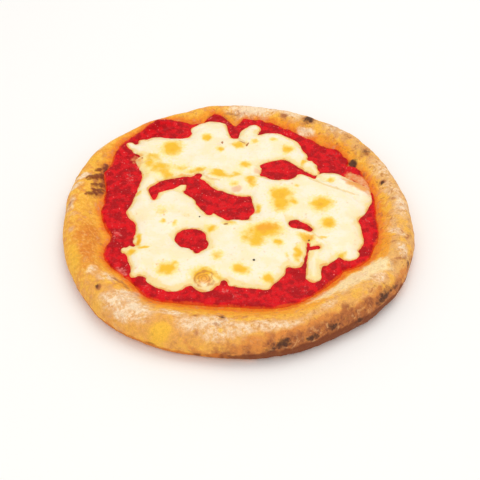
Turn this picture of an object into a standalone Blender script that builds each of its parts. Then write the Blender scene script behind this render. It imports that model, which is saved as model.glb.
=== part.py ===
"""Pizzetta: a small pizza baked whole, with a puffy rim, tomato sauce and melted mozzarella.

The shapes are worked out in millimetres on a plan seen from above, with the middle of the
pizzetta at x = 0, y = 0. MM turns millimetres into metres when a mesh is made.
The flat underside stands at z = 0. Angles are in degrees, anticlockwise from +X.
"""
import math

import bmesh
import bpy
import numpy as np
from mathutils import Vector, geometry

MM = 0.001

# Crust: a flat well inside a rounded rim, which is widest at the front (-Y)
OUTER_RADIUS = 90.0
# Each row is an angle, how far the edge swells there, and the swelling's half width in degrees
OUTER_SWELLS = [
    (15, -1.7, 18), (52, 0.5, 15), (97, 1.7, 14), (143, 2.3, 16), (185, -1, 14), (232, 3.4, 20),
    (283, 1.4, 16), (327, 2.6, 22),
]
OUTER_WOBBLE = 0.35
WELL_FLOOR = 7.2
BULGE_HEIGHT = 6.2        # height at which the rim reaches furthest out
CREST_HEIGHT = 15.0       # of a wide stretch of rim
THIN_CREST_HEIGHT = 12.0  # of a narrow stretch of rim
THIN_RIM = 11.0
WIDE_RIM = 25.0
CREST_AT = 0.66           # share of the rim's width from the well's edge to the crest
FOOT_INSET = 4.5          # from the outermost line in to the flat underside
LUMP_HEIGHT = 0.55
RELIEF_FROM = 0.6         # share of the rim's rise above which its relief has full height
SECTIONS = 144            # round the crust and the sauce
# The rim section's points: shares of its width on the slope, then turns over the crest and under the bulge
SLOPE_SHARES = [0.08, 0.16, 0.25, 0.36, 0.5, CREST_AT]
CREST_TURNS = [28, 52, 72, 90]
BULGE_TURNS = [35, 65, 90]

# The well lies back from the middle, so its edge is a circle about another point
WELL_CENTRE = (1.0, 8.0)
WELL_RADIUS = 67.5
WELL_SWELLS = [
    (60, -2.8, 22), (98, 3, 8), (130, 8, 20), (208, 5.5, 13), (233, 7, 14), (287, 2, 18), (338, 4, 12),
]

# Bubbles in the baked rim: x, y, radius, height
RIM_BUBBLES = [
    (39, 75, 3.6, 0.9), (62.5, 41, 3.4, 0.7), (70, 47, 4.2, 0.7), (42, 63, 8, 0.5), (14, 79, 7, 0.4),
    (83, 4, 8, 0.8), (79, -32, 8, 0.7), (54, -50, 9, 0.8), (19, -77, 9, 0.7), (-16, -76, 9, 0.7),
    (-34, -80, 8, 0.9), (-56, -64, 9, 0.8), (-71, -40, 8, 0.7), (-84, 22, 6, 0.7), (-76, 27, 6, 0.9),
]
# Burnt folds across the rim on the left: chains of discs (x, y, radius)
BURNT_FOLDS = [
    [(-83, 25, 0.9), (-75, 28, 1.2)], [(-82, 18, 0.7), (-75, 20, 1.1)], [(-81, 10, 0.7), (-75, 12, 0.9)],
]
FOLD_HEIGHT = 0.9
FOLD_SHARPNESS = 1.0      # how far inside a fold's edge it has its full height
SPOT_EDGE = 1.5           # how sharply bubbles and sunk spots end: 1 is a soft bell

# Sauce: a thin layer over the well that climbs a little way up the rim
SAUCE_RADIUS = 70.5
SAUCE_SWELLS = [
    (34, -3, 1.8), (43.5, 1.2, 3), (51.5, -1, 2.5), (60, -3.2, 20), (80, 1.5, 12), (87.5, 1, 2.5),
    (91, -4.5, 2.2), (98.5, 5, 4.7), (120.6, 9, 11), (139.2, 9, 12), (156.5, 4, 6), (177.5, 1, 4),
    (193.2, -3, 4), (208, 7, 11), (233, 8, 13), (254, 1.5, 10), (293, 4.6, 15), (323, -1.5, 2.5),
    (334, 4.5, 7), (347, 3.5, 9),
]
SAUCE_THICKNESS = 1.3
SAUCE_EDGE_THICKNESS = 0.35
SAUCE_EDGE_WIDTH = 3.0
PULP_HEIGHT = 0.35
PULP_CLEARANCE = 4.5      # from the cheese's edge to the nearest lump of pulp
PULP_FADE = 2.0           # distance over which the lumps then grow to full height
LAYER_GAP = 0.35
# Distances in from the sauce's edge at which its top and its underside have a ring
SAUCE_TOP_RINGS = [0, 1.2, 3, 5.5, 9, 13]
SAUCE_BASE_RINGS = [0, 1.2, 3, 5.5, 9, 13]

# Mozzarella: every slice is a row of strokes, each a chain of discs (x, y, radius) that melt together
CHEESE_THICKNESS = 2.2
CHEESE_WALL = 0.9         # the upright part of its edge
CHEESE_SHOULDER = 0.6     # distance in from the edge to the ring of points on its rounded shoulder
CHEESE_ROUNDING = 1.8     # distance in from the edge to full thickness
CHEESE_WAVE = 0.3
CHEESE_BLEND = 2.5
SLICE_GAP = 0.35
SLICE_BLEND = 2.0
SLICE_GAP_BLEND = 0.5
BACK_SLICE = [
    [(-58.6, 55.5, 2.2), (-51, 54.6, 7), (-44, 53.8, 9.8), (-30, 48.6, 13.6)],
    [(-30, 48.6, 13.6), (-17, 49.8, 15.5), (-2, 47.8, 14.5), (10, 52.6, 12.5), (19, 55.2, 11.6)],
    [(-16.5, 63.5, 9.5), (-15, 70.2, 7.4)],
    [(-23, 69.8, 3.2), (-19, 71.6, 4.2)],
    [(-9.5, 64.4, 5.5), (-10.5, 72, 4.8)],
    [(19, 55.4, 11.5), (26, 53.6, 9), (32, 46.8, 5.8), (38.5, 38.3, 4.2), (41.5, 33.8, 2.4)],
    [(-50, 42.8, 5), (-44, 35.8, 8)],
    [(-2, 38.8, 9), (9, 35.8, 4.5)],
]
LEFT_SLICE = [
    [(-43, 33.8, 8.5), (-46.5, 27.8, 4.5), (-47.5, 18.8, 5.2), (-48, 7.8, 7), (-43, -5.2, 9),
     (-40, -19.2, 11)],
    [(-47, 2.8, 9.5), (-50, 2.3, 7)],
    [(-40, -19.2, 12), (-42, -29.2, 12.5), (-33, -39.2, 13), (-31, -45, 8.7)],
    [(-48, -26, 6.5), (-55.8, -25.8, 2.2)],
    [(-45, -34, 7.5), (-50, -42.2, 2.2)],
]
MIDDLE_SLICE = [
    [(-34, -39, 12), (-15, -35, 13), (2, -36, 14.8), (10, -37, 14)],
    [(5, -45.4, 5.8), (13, -49.4, 3.4)],
    [(-15.7, -46.5, 6.4), (-15.7, -47.6, 6.3)],
    [(-38, -6.2, 12), (-20, -21.2, 16), (0, -21.2, 18), (16, -21.2, 17)],
    [(-36, 10.8, 10), (-27, 6.8, 8), (-12, -9.2, 8)],
    [(-30, 20.8, 3), (-28, 24.3, 1.6)],
    [(24, -29.2, 8.5), (28, -33.1, 4.8)],
    [(16, -19.2, 15), (22, -1.2, 12), (20, 12.8, 12.5), (12, 22.8, 8), (3, 24, 9.6), (-8, 26.5, 7.5),
     (-13, 31.5, 6)],
    [(-26, 34.8, 4.6), (-10, 32.8, 6)],
    [(-38.5, 34.8, 7.8), (-34, 33, 4.7)],
]
RIGHT_SLICE = [
    [(24, 6.8, 12), (36, 13.8, 15.5), (50, 10.8, 15), (57, 6.8, 10.5)],
    [(45, 3.8, 14), (48, -9.2, 14.6), (50, -17.2, 13.5), (50, -22, 9.5), (54.8, -27.4, 5.6)],
    [(22, 20.8, 8), (34, 25.3, 7.2), (39, 25.8, 4)],
    [(44, -19.2, 7), (39, -27, 3.9), (37.4, -36, 3.8), (37, -44, 3.8)],
    [(41, -32, 4.8), (44.5, -28.5, 5)],
    [(28, -13.2, 6), (30, -23.2, 4.5), (29, -33, 3.6)],
    [(34, -14.2, 3.5), (38, -16.2, 4)],
    [(58.5, 4, 4.5), (64.3, 11.8, 6)],
]
CORNER_SLICE = [[(46.3, 28.6, 4.6), (51, 27.5, 5.8), (57, 22.3, 6.2), (63, 17.3, 6.8), (64.6, 13.6, 5.6)]]
SMALL_SLICE = [[(9, 70.6, 4.2), (6, 65.8, 5), (4.2, 62.2, 4.2)]]

# Openings in the cheese through which the sauce shows, and bites out of its edge, as chains of discs
CHEESE_WINDOWS = [
    [(-43.3, 13, 1.1), (-44, 19.6, 2.7), (-40.5, 21.9, 3.6), (-36, 24, 3.9), (-31, 26.7, 3),
     (-24, 26.8, 2.8), (-20.8, 31.2, 1.9)],
    [(-22.5, 25.2, 4.4), (-20.2, 19.2, 6.4), (-12.5, 11.3, 6.8), (-4.5, 6.2, 8.3), (2, 4.8, 6.2)],
    [(-16.5, 9.7, 5), (-14.6, 2, 1.8)],
    [(-24.5, -17, 6.8), (-22.5, -17.2, 7.1), (-19.8, -20.8, 5.2), (-20.2, -26, 1.5)],
    [(13.5, 38.5, 1.3), (17, 38, 3.8), (20.8, 35.5, 7.8), (26, 34.2, 6.1), (31.5, 35.8, 1.8),
     (36, 32.8, 0.9), (40.8, 29.6, 0.9)],
    [(29.3, -6.4, 3.1), (33.5, -7.9, 2.0), (36.6, -10.6, 1.6)],
    [(36.8, -24.1, 1.1), (39.8, -23.5, 1.1)],
    [(35.2, -23.7, 0.4), (33.9, -31.1, 0.45), (32.8, -37, 0.8)],
]
CHEESE_BITES = [
    [(-56, 63, 1.8), (-56, 58.8, 1.5)], [(50, -33, 1.4), (50.1, -31.2, 0.8)],
    [(40.8, 46.8, 2.2), (39, 44.8, 1.2)], [(-53.5, -20.5, 1.4), (-52, -22, 1.0)],
    [(-24.6, -54, 2), (-24, -51.8, 1)],
    [(-6.5, -51, 2.6), (-6.3, -48, 1.8)], [(-46, -45.5, 1.6)], [(-3.6, 66, 1.0), (-2.5, 73, 3)],
]
WINDOW_BLEND = 0.8

# Hollows in the cheese where it has browned and sunk: x, y, radius along x, radius along y, depth
SUNK_SPOTS = [
    (-36, 53, 5, 6.5, 0.45), (22, 12, 5, 8, 0.45), (43.5, 8, 5.5, 5, 0.45), (13, -14, 9, 6, 0.5),
    (46.5, -7, 3.2, 3.2, 0.35), (-35, -38, 4.5, 3.5, 0.4), (2, -40, 4.5, 3.4, 0.4), (-8, 32, 5, 3.5, 0.35),
    (-42, 39, 8, 6, 0.35), (28, 51.5, 3.2, 3, 0.3), (-17, 61.5, 2.2, 2, 0.3), (-10, -29, 3, 3, 0.3),
]
# A bubble that has burst at the front edge leaves a raised ring: x, y, radius, height, width
BURST_BUBBLE = (-15.7, -47.3, 4.4, 0.7, 1.5)
CORNER_LIFT = 0.6         # the corner slice lies a little higher than the sheet beside it

# Spacing of the cheese's points: along its outline, and inside it
OUTLINE_SPACING = 2.7
OUTLINE_CELL = 0.5        # of the square net on which the outline is found
INSIDE_SPACING = 5.5
LEVEL_TOLERANCE = 0.05    # the underside has inner points only where it rises by more than this

CRUST_COLOR = (0.72, 0.36, 0.09)
SAUCE_COLOR = (0.56, 0.012, 0.012)
CHEESE_COLOR = (0.93, 0.82, 0.58)


def smoothstep(t):
    t = np.clip(t, 0, 1)
    return t * t * (3 - 2 * t)


def swells(angle, rows):
    """The sum of the rows' swellings at an angle."""
    total = np.zeros_like(angle)
    for at, height, width in rows:
        off = (angle - at + 180) % 360 - 180
        total += height * np.exp(-(off / width) ** 2)
    return total


def waves(seed, count, shortest, longest):
    """Seeded plane waves as rows of (wave number x, wave number y, phase)."""
    draws = np.random.default_rng(seed)
    turn = draws.uniform(0, 2 * math.pi, count)
    number = 2 * math.pi / draws.uniform(shortest, longest, count)
    phase = draws.uniform(0, 2 * math.pi, count)
    return np.stack([number * np.cos(turn), number * np.sin(turn), phase], axis=1)


def ripple(x, y, rows):
    """The waves' sum, scaled to about -1 to 1."""
    total = sum(np.cos(across * x + along * y + phase) for across, along, phase in rows)
    return total / math.sqrt(2 * len(rows))


RIM_WAVES = waves(11, 14, 14, 34)
EDGE_WAVES = waves(12, 8, 16, 40)
SAUCE_WAVES = waves(13, 14, 8, 15)
CHEESE_WAVES = waves(14, 12, 13, 30)


def stroke_distance(x, y, discs):
    """Distance outside a chain of discs joined by tapered bars, negative inside it."""
    pairs = list(zip(discs, discs[1:])) or [(discs[0], discs[0])]
    nearest = np.full_like(x, np.inf)
    for (x0, y0, r0), (x1, y1, r1) in pairs:
        run_x = x1 - x0
        run_y = y1 - y0
        length_squared = run_x ** 2 + run_y ** 2 + 1e-9
        share = np.clip(((x - x0) * run_x + (y - y0) * run_y) / length_squared, 0, 1)
        gap = np.hypot(x - x0 - share * run_x, y - y0 - share * run_y) - (r0 + share * (r1 - r0))
        nearest = np.minimum(nearest, gap)
    return nearest


def melt(a, b, blend):
    """The lesser of two distances, with the corner between them filled over about the blend."""
    share = np.clip(0.5 + 0.5 * (b - a) / blend, 0, 1)
    return b + (a - b) * share - blend * share * (1 - share)


def melted(x, y, strokes, blend):
    """Distance outside strokes that run together, negative inside them."""
    total = stroke_distance(x, y, strokes[0])
    for discs in strokes[1:]:
        total = melt(total, stroke_distance(x, y, discs), blend)
    return total


def corner_field(x, y):
    return melted(x, y, CORNER_SLICE, SLICE_BLEND)


def small_field(x, y):
    return melted(x, y, SMALL_SLICE, SLICE_BLEND)


def sheet_field(x, y):
    """The fused slices, less the windows, the bites and the room for the two separate slices."""
    total = melted(x, y, BACK_SLICE + LEFT_SLICE + MIDDLE_SLICE + RIGHT_SLICE, CHEESE_BLEND)
    for discs in CHEESE_WINDOWS + CHEESE_BITES:
        total = -melt(-total, stroke_distance(x, y, discs), WINDOW_BLEND)
    for slice_field in (corner_field, small_field):
        total = -melt(-total, slice_field(x, y) - SLICE_GAP, SLICE_GAP_BLEND)
    return total


def off_centre_circle(angle, radius):
    """Distance from the middle to a circle about the well's centre, along an angle."""
    turn = np.radians(angle)
    along = WELL_CENTRE[0] * np.cos(turn) + WELL_CENTRE[1] * np.sin(turn)
    across = WELL_CENTRE[0] * np.sin(turn) - WELL_CENTRE[1] * np.cos(turn)
    return along + np.sqrt(radius ** 2 - across ** 2)


def outer_edge(angle):
    turn = np.radians(angle)
    wobble = ripple(OUTER_RADIUS * np.cos(turn), OUTER_RADIUS * np.sin(turn), EDGE_WAVES)
    return OUTER_RADIUS + swells(angle, OUTER_SWELLS) + OUTER_WOBBLE * wobble


def well_edge(angle):
    return off_centre_circle(angle, WELL_RADIUS) + swells(angle, WELL_SWELLS)


def sauce_edge(angle):
    return off_centre_circle(angle, SAUCE_RADIUS) + swells(angle, SAUCE_SWELLS)


def rim_top(share):
    """Height of the nominal rim's top, from the well's edge (0) to the outermost line (1)."""
    inner = WELL_FLOOR + (CREST_HEIGHT - WELL_FLOOR) * smoothstep(share / CREST_AT)
    past = np.clip((share - CREST_AT) / (1 - CREST_AT), 0, 1)
    outer = BULGE_HEIGHT + (CREST_HEIGHT - BULGE_HEIGHT) * np.sqrt(1 - past ** 2)
    return np.where(share < CREST_AT, inner, outer)


def rim_relief(x, y):
    """Lumps, bubbles and burnt folds that the baked rim has at full height."""
    relief = LUMP_HEIGHT * ripple(x, y, RIM_WAVES)
    for across, along, radius, height in RIM_BUBBLES:
        reach = np.hypot(x - across, y - along) / radius
        relief = relief + height * np.exp(-reach ** (2 * SPOT_EDGE))
    for fold in BURNT_FOLDS:
        from_ridge = np.clip(stroke_distance(x, y, fold) + FOLD_SHARPNESS, 0, None)
        relief = relief + FOLD_HEIGHT * np.exp(-from_ridge ** 2)
    return relief


def rim_height(angle, radius, nominal):
    """The true height of a rim point whose nominal height is given."""
    width = outer_edge(angle) - well_edge(angle)
    breadth = smoothstep((width - THIN_RIM) / (WIDE_RIM - THIN_RIM))
    crest = THIN_CREST_HEIGHT + (CREST_HEIGHT - THIN_CREST_HEIGHT) * breadth
    rise = np.clip((nominal - WELL_FLOOR) / (CREST_HEIGHT - WELL_FLOOR), 0, 1)
    turn = np.radians(angle)
    relief = rim_relief(radius * np.cos(turn), radius * np.sin(turn))
    return nominal + rise * (crest - CREST_HEIGHT) + smoothstep(rise / RELIEF_FROM) * relief


def crust_top(angle, radius):
    inner = well_edge(angle)
    share = np.clip((radius - inner) / (outer_edge(angle) - inner), 0, 1)
    return rim_height(angle, radius, rim_top(share))


def sauce_base(angle, radius):
    return crust_top(angle, radius) + LAYER_GAP


def sauce_top(angle, radius):
    """Top of the smooth sauce, before its pulp."""
    inside = np.clip(sauce_edge(angle) - radius, 0, None)
    swell = smoothstep(0.5 + 0.5 * inside / SAUCE_EDGE_WIDTH) * 2 - 1
    film = SAUCE_EDGE_THICKNESS + (SAUCE_THICKNESS - SAUCE_EDGE_THICKNESS) * np.clip(swell, 0, 1)
    return sauce_base(angle, radius) + film


def pulp(x, y):
    """Lumps of pulp where no cheese lies on the sauce."""
    bare = np.minimum(sheet_field(x, y), np.minimum(corner_field(x, y), small_field(x, y)))
    return PULP_HEIGHT * smoothstep((bare - PULP_CLEARANCE) / PULP_FADE) * np.abs(ripple(x, y, SAUCE_WAVES))


def cheese_base(x, y):
    return sauce_top(np.degrees(np.arctan2(y, x)), np.hypot(x, y)) + LAYER_GAP


def cheese_thickness(x, y, inside):
    """Thickness at a distance in from the edge, with its waves, sunk spots and burst bubble."""
    rounding = np.clip(inside / CHEESE_ROUNDING, 0, 1)
    thickness = CHEESE_WALL + (CHEESE_THICKNESS - CHEESE_WALL) * np.sqrt(1 - (1 - rounding) ** 2)
    thickness = thickness + rounding * CHEESE_WAVE * ripple(x, y, CHEESE_WAVES)
    for across, along, wide, deep, depth in SUNK_SPOTS:
        reach = ((x - across) / wide) ** 2 + ((y - along) / deep) ** 2
        thickness = thickness - rounding * depth * np.exp(-reach ** SPOT_EDGE)
    across, along, radius, height, width = BURST_BUBBLE
    from_ring = np.hypot(x - across, y - along) - radius
    return thickness + rounding * height * np.exp(-(from_ring / width) ** 2)


def principled(name, color, roughness):
    material = bpy.data.materials.new(name)
    material.use_nodes = True
    shader = material.node_tree.nodes["Principled BSDF"]
    shader.inputs["Base Color"].default_value = (*color, 1)
    shader.inputs["Roughness"].default_value = roughness
    shader.inputs["Metallic"].default_value = 0
    return material


def add_object(name, mesh, material, collection):
    node = bpy.data.objects.new(name, mesh)
    mesh.materials.append(material)
    mesh.shade_smooth()
    collection.objects.link(node)
    return node


def turned(name, profile, collection):
    """The mesh of a profile (radius, height) turned once about the vertical axis."""
    mesh = bpy.data.meshes.new(name + "_profile")
    points = [(radius * MM, 0, height * MM) for radius, height in profile]
    mesh.from_pydata(points, [(i, i + 1) for i in range(len(points) - 1)], [])
    guide = bpy.data.objects.new(name + "_profile", mesh)
    collection.objects.link(guide)
    screw = guide.modifiers.new("turn", "SCREW")
    screw.steps = SECTIONS
    screw.render_steps = SECTIONS
    screw.use_merge_vertices = True
    screw.merge_threshold = 0.00001
    evaluated = guide.evaluated_get(bpy.context.evaluated_depsgraph_get())
    result = bpy.data.meshes.new_from_object(evaluated)
    result.name = name
    bpy.data.objects.remove(guide)
    return result


def polar_points(mesh):
    """The mesh's points in millimetres as arrays of angle, radius and height."""
    flat = np.empty(len(mesh.vertices) * 3)
    mesh.vertices.foreach_get("co", flat)
    x, y, z = flat.reshape(-1, 3).T / MM
    return np.degrees(np.arctan2(y, x)), np.hypot(x, y), z


def set_polar_points(mesh, angle, radius, height):
    turn = np.radians(angle)
    places = np.stack([radius * np.cos(turn), radius * np.sin(turn), height], axis=1) * MM
    mesh.vertices.foreach_set("co", places.ravel())
    mesh.update()


def make_crust(collection):
    """A round rim section is turned, then each section is stretched to the rim's width and height there."""
    nominal_rim = OUTER_RADIUS - WELL_RADIUS
    profile = [(0, WELL_FLOOR), (WELL_RADIUS / 2, WELL_FLOOR), (WELL_RADIUS, WELL_FLOOR)]
    for share in SLOPE_SHARES:
        profile.append((WELL_RADIUS + share * nominal_rim, float(rim_top(share))))
    for turn in CREST_TURNS:
        share = CREST_AT + (1 - CREST_AT) * math.sin(math.radians(turn))
        profile.append((WELL_RADIUS + share * nominal_rim, float(rim_top(share))))
    for turn in BULGE_TURNS:
        out = OUTER_RADIUS - FOOT_INSET * (1 - math.cos(math.radians(turn)))
        profile.append((out, BULGE_HEIGHT * (1 - math.sin(math.radians(turn)))))
    profile.append((0, 0))
    mesh = turned("crust", profile, collection)
    angle, radius, height = polar_points(mesh)
    inner = well_edge(angle)
    share = (radius - WELL_RADIUS) / nominal_rim
    stretched = np.where(share < 0, radius * inner / WELL_RADIUS, inner + share * (outer_edge(angle) - inner))
    set_polar_points(mesh, angle, stretched, rim_height(angle, stretched, height))
    return add_object("crust", mesh, principled("baked_crust", CRUST_COLOR, 0.7), collection)


def make_sauce(collection):
    """Rings in from the sauce's edge, above and below, follow the crust under them."""
    top_rings = [(SAUCE_RADIUS - ring, 1) for ring in reversed(SAUCE_TOP_RINGS)]
    base_rings = [(SAUCE_RADIUS - ring, 0) for ring in SAUCE_BASE_RINGS]
    mesh = turned("sauce", [(0, 1)] + top_rings + base_rings + [(0, 0)], collection)
    angle, radius, level = polar_points(mesh)
    stretched = radius * sauce_edge(angle) / SAUCE_RADIUS
    turn = np.radians(angle)
    lumpy = sauce_top(angle, stretched) + pulp(stretched * np.cos(turn), stretched * np.sin(turn))
    set_polar_points(mesh, angle, stretched, np.where(level > 0.5, lumpy, sauce_base(angle, stretched)))
    return add_object("sauce", mesh, principled("tomato_sauce", SAUCE_COLOR, 0.3), collection)


def outline_loops(field, inside, reach):
    """Closed loops along which the field is a distance inside: a net of the field's heights is cut level."""
    west, east, south, north = reach
    net = bmesh.new()
    columns = round((east - west) / OUTLINE_CELL)
    rows = round((north - south) / OUTLINE_CELL)
    bmesh.ops.create_grid(net, x_segments=columns, y_segments=rows, size=0.5)
    places = np.array([corner.co[:2] for corner in net.verts])
    x = west + (places[:, 0] + 0.5) * (east - west)
    y = south + (places[:, 1] + 0.5) * (north - south)
    for corner, across, along, height in zip(net.verts, x, y, field(x, y) + inside):
        corner.co = (across, along, height)
    bmesh.ops.triangulate(net, faces=net.faces)
    everything = net.verts[:] + net.edges[:] + net.faces[:]
    cut = bmesh.ops.bisect_plane(net, geom=everything, dist=1e-6, plane_co=(0, 0, 0), plane_no=(0, 0, 1))
    neighbours = {}
    for piece in cut["geom_cut"]:
        if isinstance(piece, bmesh.types.BMEdge):
            for corner in piece.verts:
                neighbours.setdefault(corner, []).append(piece.other_vert(corner))
    loops = []
    while neighbours:
        corner = next(iter(neighbours))
        loop = []
        while corner is not None:
            loop.append(corner.co[:2])
            onward = [other for other in neighbours.pop(corner) if other in neighbours]
            corner = onward[0] if onward else None
        loops.append(np.array(loop))
    net.free()
    return loops


def evenly_spaced(loop, spacing):
    """Points at equal steps along a closed loop."""
    closed = np.vstack([loop, loop[:1]])
    walked = np.concatenate([[0], np.cumsum(np.hypot(*np.diff(closed, axis=0).T))])
    count = max(6, round(walked[-1] / spacing))
    steps = np.arange(count) * walked[-1] / count
    return np.stack([np.interp(steps, walked, closed[:, 0]), np.interp(steps, walked, closed[:, 1])], axis=1)


def inside_points(field, margin, reach):
    """A staggered net of points well inside the outline."""
    west, east, south, north = reach
    row_height = INSIDE_SPACING * math.sqrt(3) / 2
    x, y = np.meshgrid(np.arange(west, east, INSIDE_SPACING), np.arange(south, north, row_height))
    x = x + (np.arange(len(x)) % 2)[:, None] * INSIDE_SPACING / 2
    keep = field(x, y) < -margin
    return np.stack([x[keep], y[keep]], axis=1)


def within(outline, x, y):
    """True for the points from which a line eastward crosses the outline's loops an odd number of times."""
    odd = np.zeros(len(x), dtype=bool)
    for loop in outline:
        for (x0, y0), (x1, y1) in zip(loop, np.roll(loop, -1, axis=0)):
            level = (y0 > y) != (y1 > y)
            odd ^= level & (x < x0 + (y - y0) * (x1 - x0) / np.where(level, y1 - y0, 1))
    return odd


def triangulated(outline, extra):
    """Triangles that fill the outline's loops, holes left open, through the extra points as well."""
    points = [Vector(place) for loop in outline for place in loop] + [Vector(place) for place in extra]
    edges = []
    start = 0
    for loop in outline:
        edges += [(start + i, start + (i + 1) % len(loop)) for i in range(len(loop))]
        start += len(loop)
    places, _, triangles, _, _, _ = geometry.delaunay_2d_cdt(points, edges, [], 0, 1e-5)
    assert len(places) == len(points)
    middles = np.array([[places[corner] for corner in triangle] for triangle in triangles]).mean(axis=1)
    kept = within(outline, *middles.T)
    return [triangle for triangle, keep in zip(triangles, kept) if keep], edges


def make_cheese(name, field, reach, lift, material, collection):
    """A closed slab over the outline: rounded top, upright edge and an underside that follows the sauce."""
    outline = [evenly_spaced(loop, OUTLINE_SPACING) for loop in outline_loops(field, 0, reach)]
    rings = []
    for inside in (CHEESE_SHOULDER, CHEESE_ROUNDING):
        for loop in outline_loops(field, inside, reach):
            rings.append(evenly_spaced(loop, OUTLINE_SPACING))
    inner = inside_points(field, CHEESE_ROUNDING + INSIDE_SPACING / 3, reach)
    edge_points = np.vstack(outline)
    top_points = np.vstack([edge_points, *rings, inner])
    x, y = top_points.T
    inside = np.where(np.arange(len(x)) < len(edge_points), 0, -field(x, y))
    raised = lift * smoothstep(inside / CHEESE_ROUNDING)
    top_height = cheese_base(x, y) + cheese_thickness(x, y, inside) + raised
    level = WELL_FLOOR + LAYER_GAP + SAUCE_THICKNESS + LAYER_GAP
    sloping = inner[cheese_base(*inner.T) > level + LEVEL_TOLERANCE]
    base_points = np.vstack([edge_points, sloping])
    base_height = cheese_base(*base_points.T)
    top_faces, edges = triangulated(outline, top_points[len(edge_points):])
    base_faces, _ = triangulated(outline, sloping)
    first_top = len(base_points)
    faces = [[corner + first_top for corner in face] for face in top_faces]
    faces += [face[::-1] for face in base_faces]
    faces += [(a, b, b + first_top, a + first_top) for a, b in edges]
    heights = np.concatenate([base_height, top_height])
    places = np.column_stack([np.vstack([base_points, top_points]), heights]) * MM
    solid = bmesh.new()
    corners = [solid.verts.new(place) for place in places]
    for face in faces:
        solid.faces.new([corners[i] for i in face])
    bmesh.ops.triangulate(solid, faces=[face for face in solid.faces if len(face.verts) > 3])
    bmesh.ops.recalc_face_normals(solid, faces=solid.faces)
    mesh = bpy.data.meshes.new(name)
    solid.to_mesh(mesh)
    solid.free()
    return add_object(name, mesh, material, collection)


def main():
    for leftover in list(bpy.data.objects):
        bpy.data.objects.remove(leftover)
    collection = bpy.data.collections.new("pizzetta")
    bpy.context.scene.collection.children.link(collection)
    make_crust(collection)
    make_sauce(collection)
    cheese = principled("mozzarella", CHEESE_COLOR, 0.4)
    make_cheese("mozzarella_sheet", sheet_field, (-68, 76, -58, 84), 0, cheese, collection)
    make_cheese("mozzarella_corner_slice", corner_field, (36, 76, 2, 40), CORNER_LIFT, cheese, collection)
    make_cheese("mozzarella_small_slice", small_field, (-6, 18, 52, 80), 0, cheese, collection)


main()
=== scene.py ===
"""Looks of the pizzetta: baked crust, wet tomato sauce, melted mozzarella and a few grains of pepper.

Shapes are worked out in millimetres on a plan seen from above, as in the CAD source, and MM turns them
into metres when a mesh is made. The same named shapes are followed at a finer spacing, with finer relief.
Angles are in degrees, anticlockwise from +X. The front of the pizzetta faces -Y.
"""
import math

import bmesh
import bpy
import numpy as np
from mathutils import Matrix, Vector, geometry


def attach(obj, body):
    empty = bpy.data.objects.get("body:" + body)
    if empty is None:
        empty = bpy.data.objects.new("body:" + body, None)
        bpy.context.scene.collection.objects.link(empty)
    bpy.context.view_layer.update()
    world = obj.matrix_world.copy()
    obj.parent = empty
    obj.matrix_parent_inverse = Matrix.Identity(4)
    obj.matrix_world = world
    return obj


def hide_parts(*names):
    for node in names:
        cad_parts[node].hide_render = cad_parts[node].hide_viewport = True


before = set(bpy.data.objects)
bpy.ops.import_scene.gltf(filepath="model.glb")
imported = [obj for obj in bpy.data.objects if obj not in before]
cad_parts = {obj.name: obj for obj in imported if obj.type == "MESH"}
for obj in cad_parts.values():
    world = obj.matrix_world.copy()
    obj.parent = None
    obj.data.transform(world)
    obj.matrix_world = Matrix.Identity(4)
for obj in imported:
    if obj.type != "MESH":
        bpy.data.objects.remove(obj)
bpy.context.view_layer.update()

MM = 0.001

# Crust, as in the CAD source
OUTER_RADIUS = 90.0
OUTER_SWELLS = [
    (15, -1.7, 18), (52, 0.5, 15), (97, 1.7, 14), (143, 2.3, 16), (185, -1, 14), (232, 3.4, 20),
    (283, 1.4, 16), (327, 2.6, 22),
]
OUTER_WOBBLE = 0.35
WELL_FLOOR = 7.2
BULGE_HEIGHT = 6.2
CREST_HEIGHT = 15.0
THIN_CREST_HEIGHT = 12.0
THIN_RIM = 11.0
WIDE_RIM = 25.0
CREST_AT = 0.66
FOOT_INSET = 4.5
LUMP_HEIGHT = 0.55
RELIEF_FROM = 0.6
WELL_CENTRE = (1.0, 8.0)
WELL_RADIUS = 67.5
WELL_SWELLS = [
    (60, -2.8, 22), (98, 3, 8), (130, 8, 20), (208, 5.5, 13), (233, 7, 14), (287, 2, 18), (338, 4, 12),
]
RIM_BUBBLES = [
    (39, 75, 3.6, 0.9), (62.5, 41, 3.4, 0.7), (70, 47, 4.2, 0.7), (42, 63, 8, 0.5), (14, 79, 7, 0.4),
    (83, 4, 8, 0.8), (79, -32, 8, 0.7), (54, -50, 9, 0.8), (19, -77, 9, 0.7), (-16, -76, 9, 0.7),
    (-34, -80, 8, 0.9), (-56, -64, 9, 0.8), (-71, -40, 8, 0.7), (-84, 22, 6, 0.7), (-76, 27, 6, 0.9),
]
SPOT_EDGE = 1.5

# Sauce, as in the CAD source
SAUCE_RADIUS = 70.5
SAUCE_SWELLS = [
    (34, -3, 1.8), (43.5, 1.2, 3), (51.5, -1, 2.5), (60, -3.2, 20), (80, 1.5, 12), (87.5, 1, 2.5),
    (91, -4.5, 2.2), (98.5, 5, 4.7), (120.6, 9, 11), (139.2, 9, 12), (156.5, 4, 6), (177.5, 1, 4),
    (193.2, -3, 4), (208, 7, 11), (233, 8, 13), (254, 1.5, 10), (293, 4.6, 15), (323, -1.5, 2.5),
    (334, 4.5, 7), (347, 3.5, 9),
]
SAUCE_THICKNESS = 1.3
SAUCE_EDGE_THICKNESS = 0.35
SAUCE_EDGE_WIDTH = 3.0
LAYER_GAP = 0.35

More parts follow.
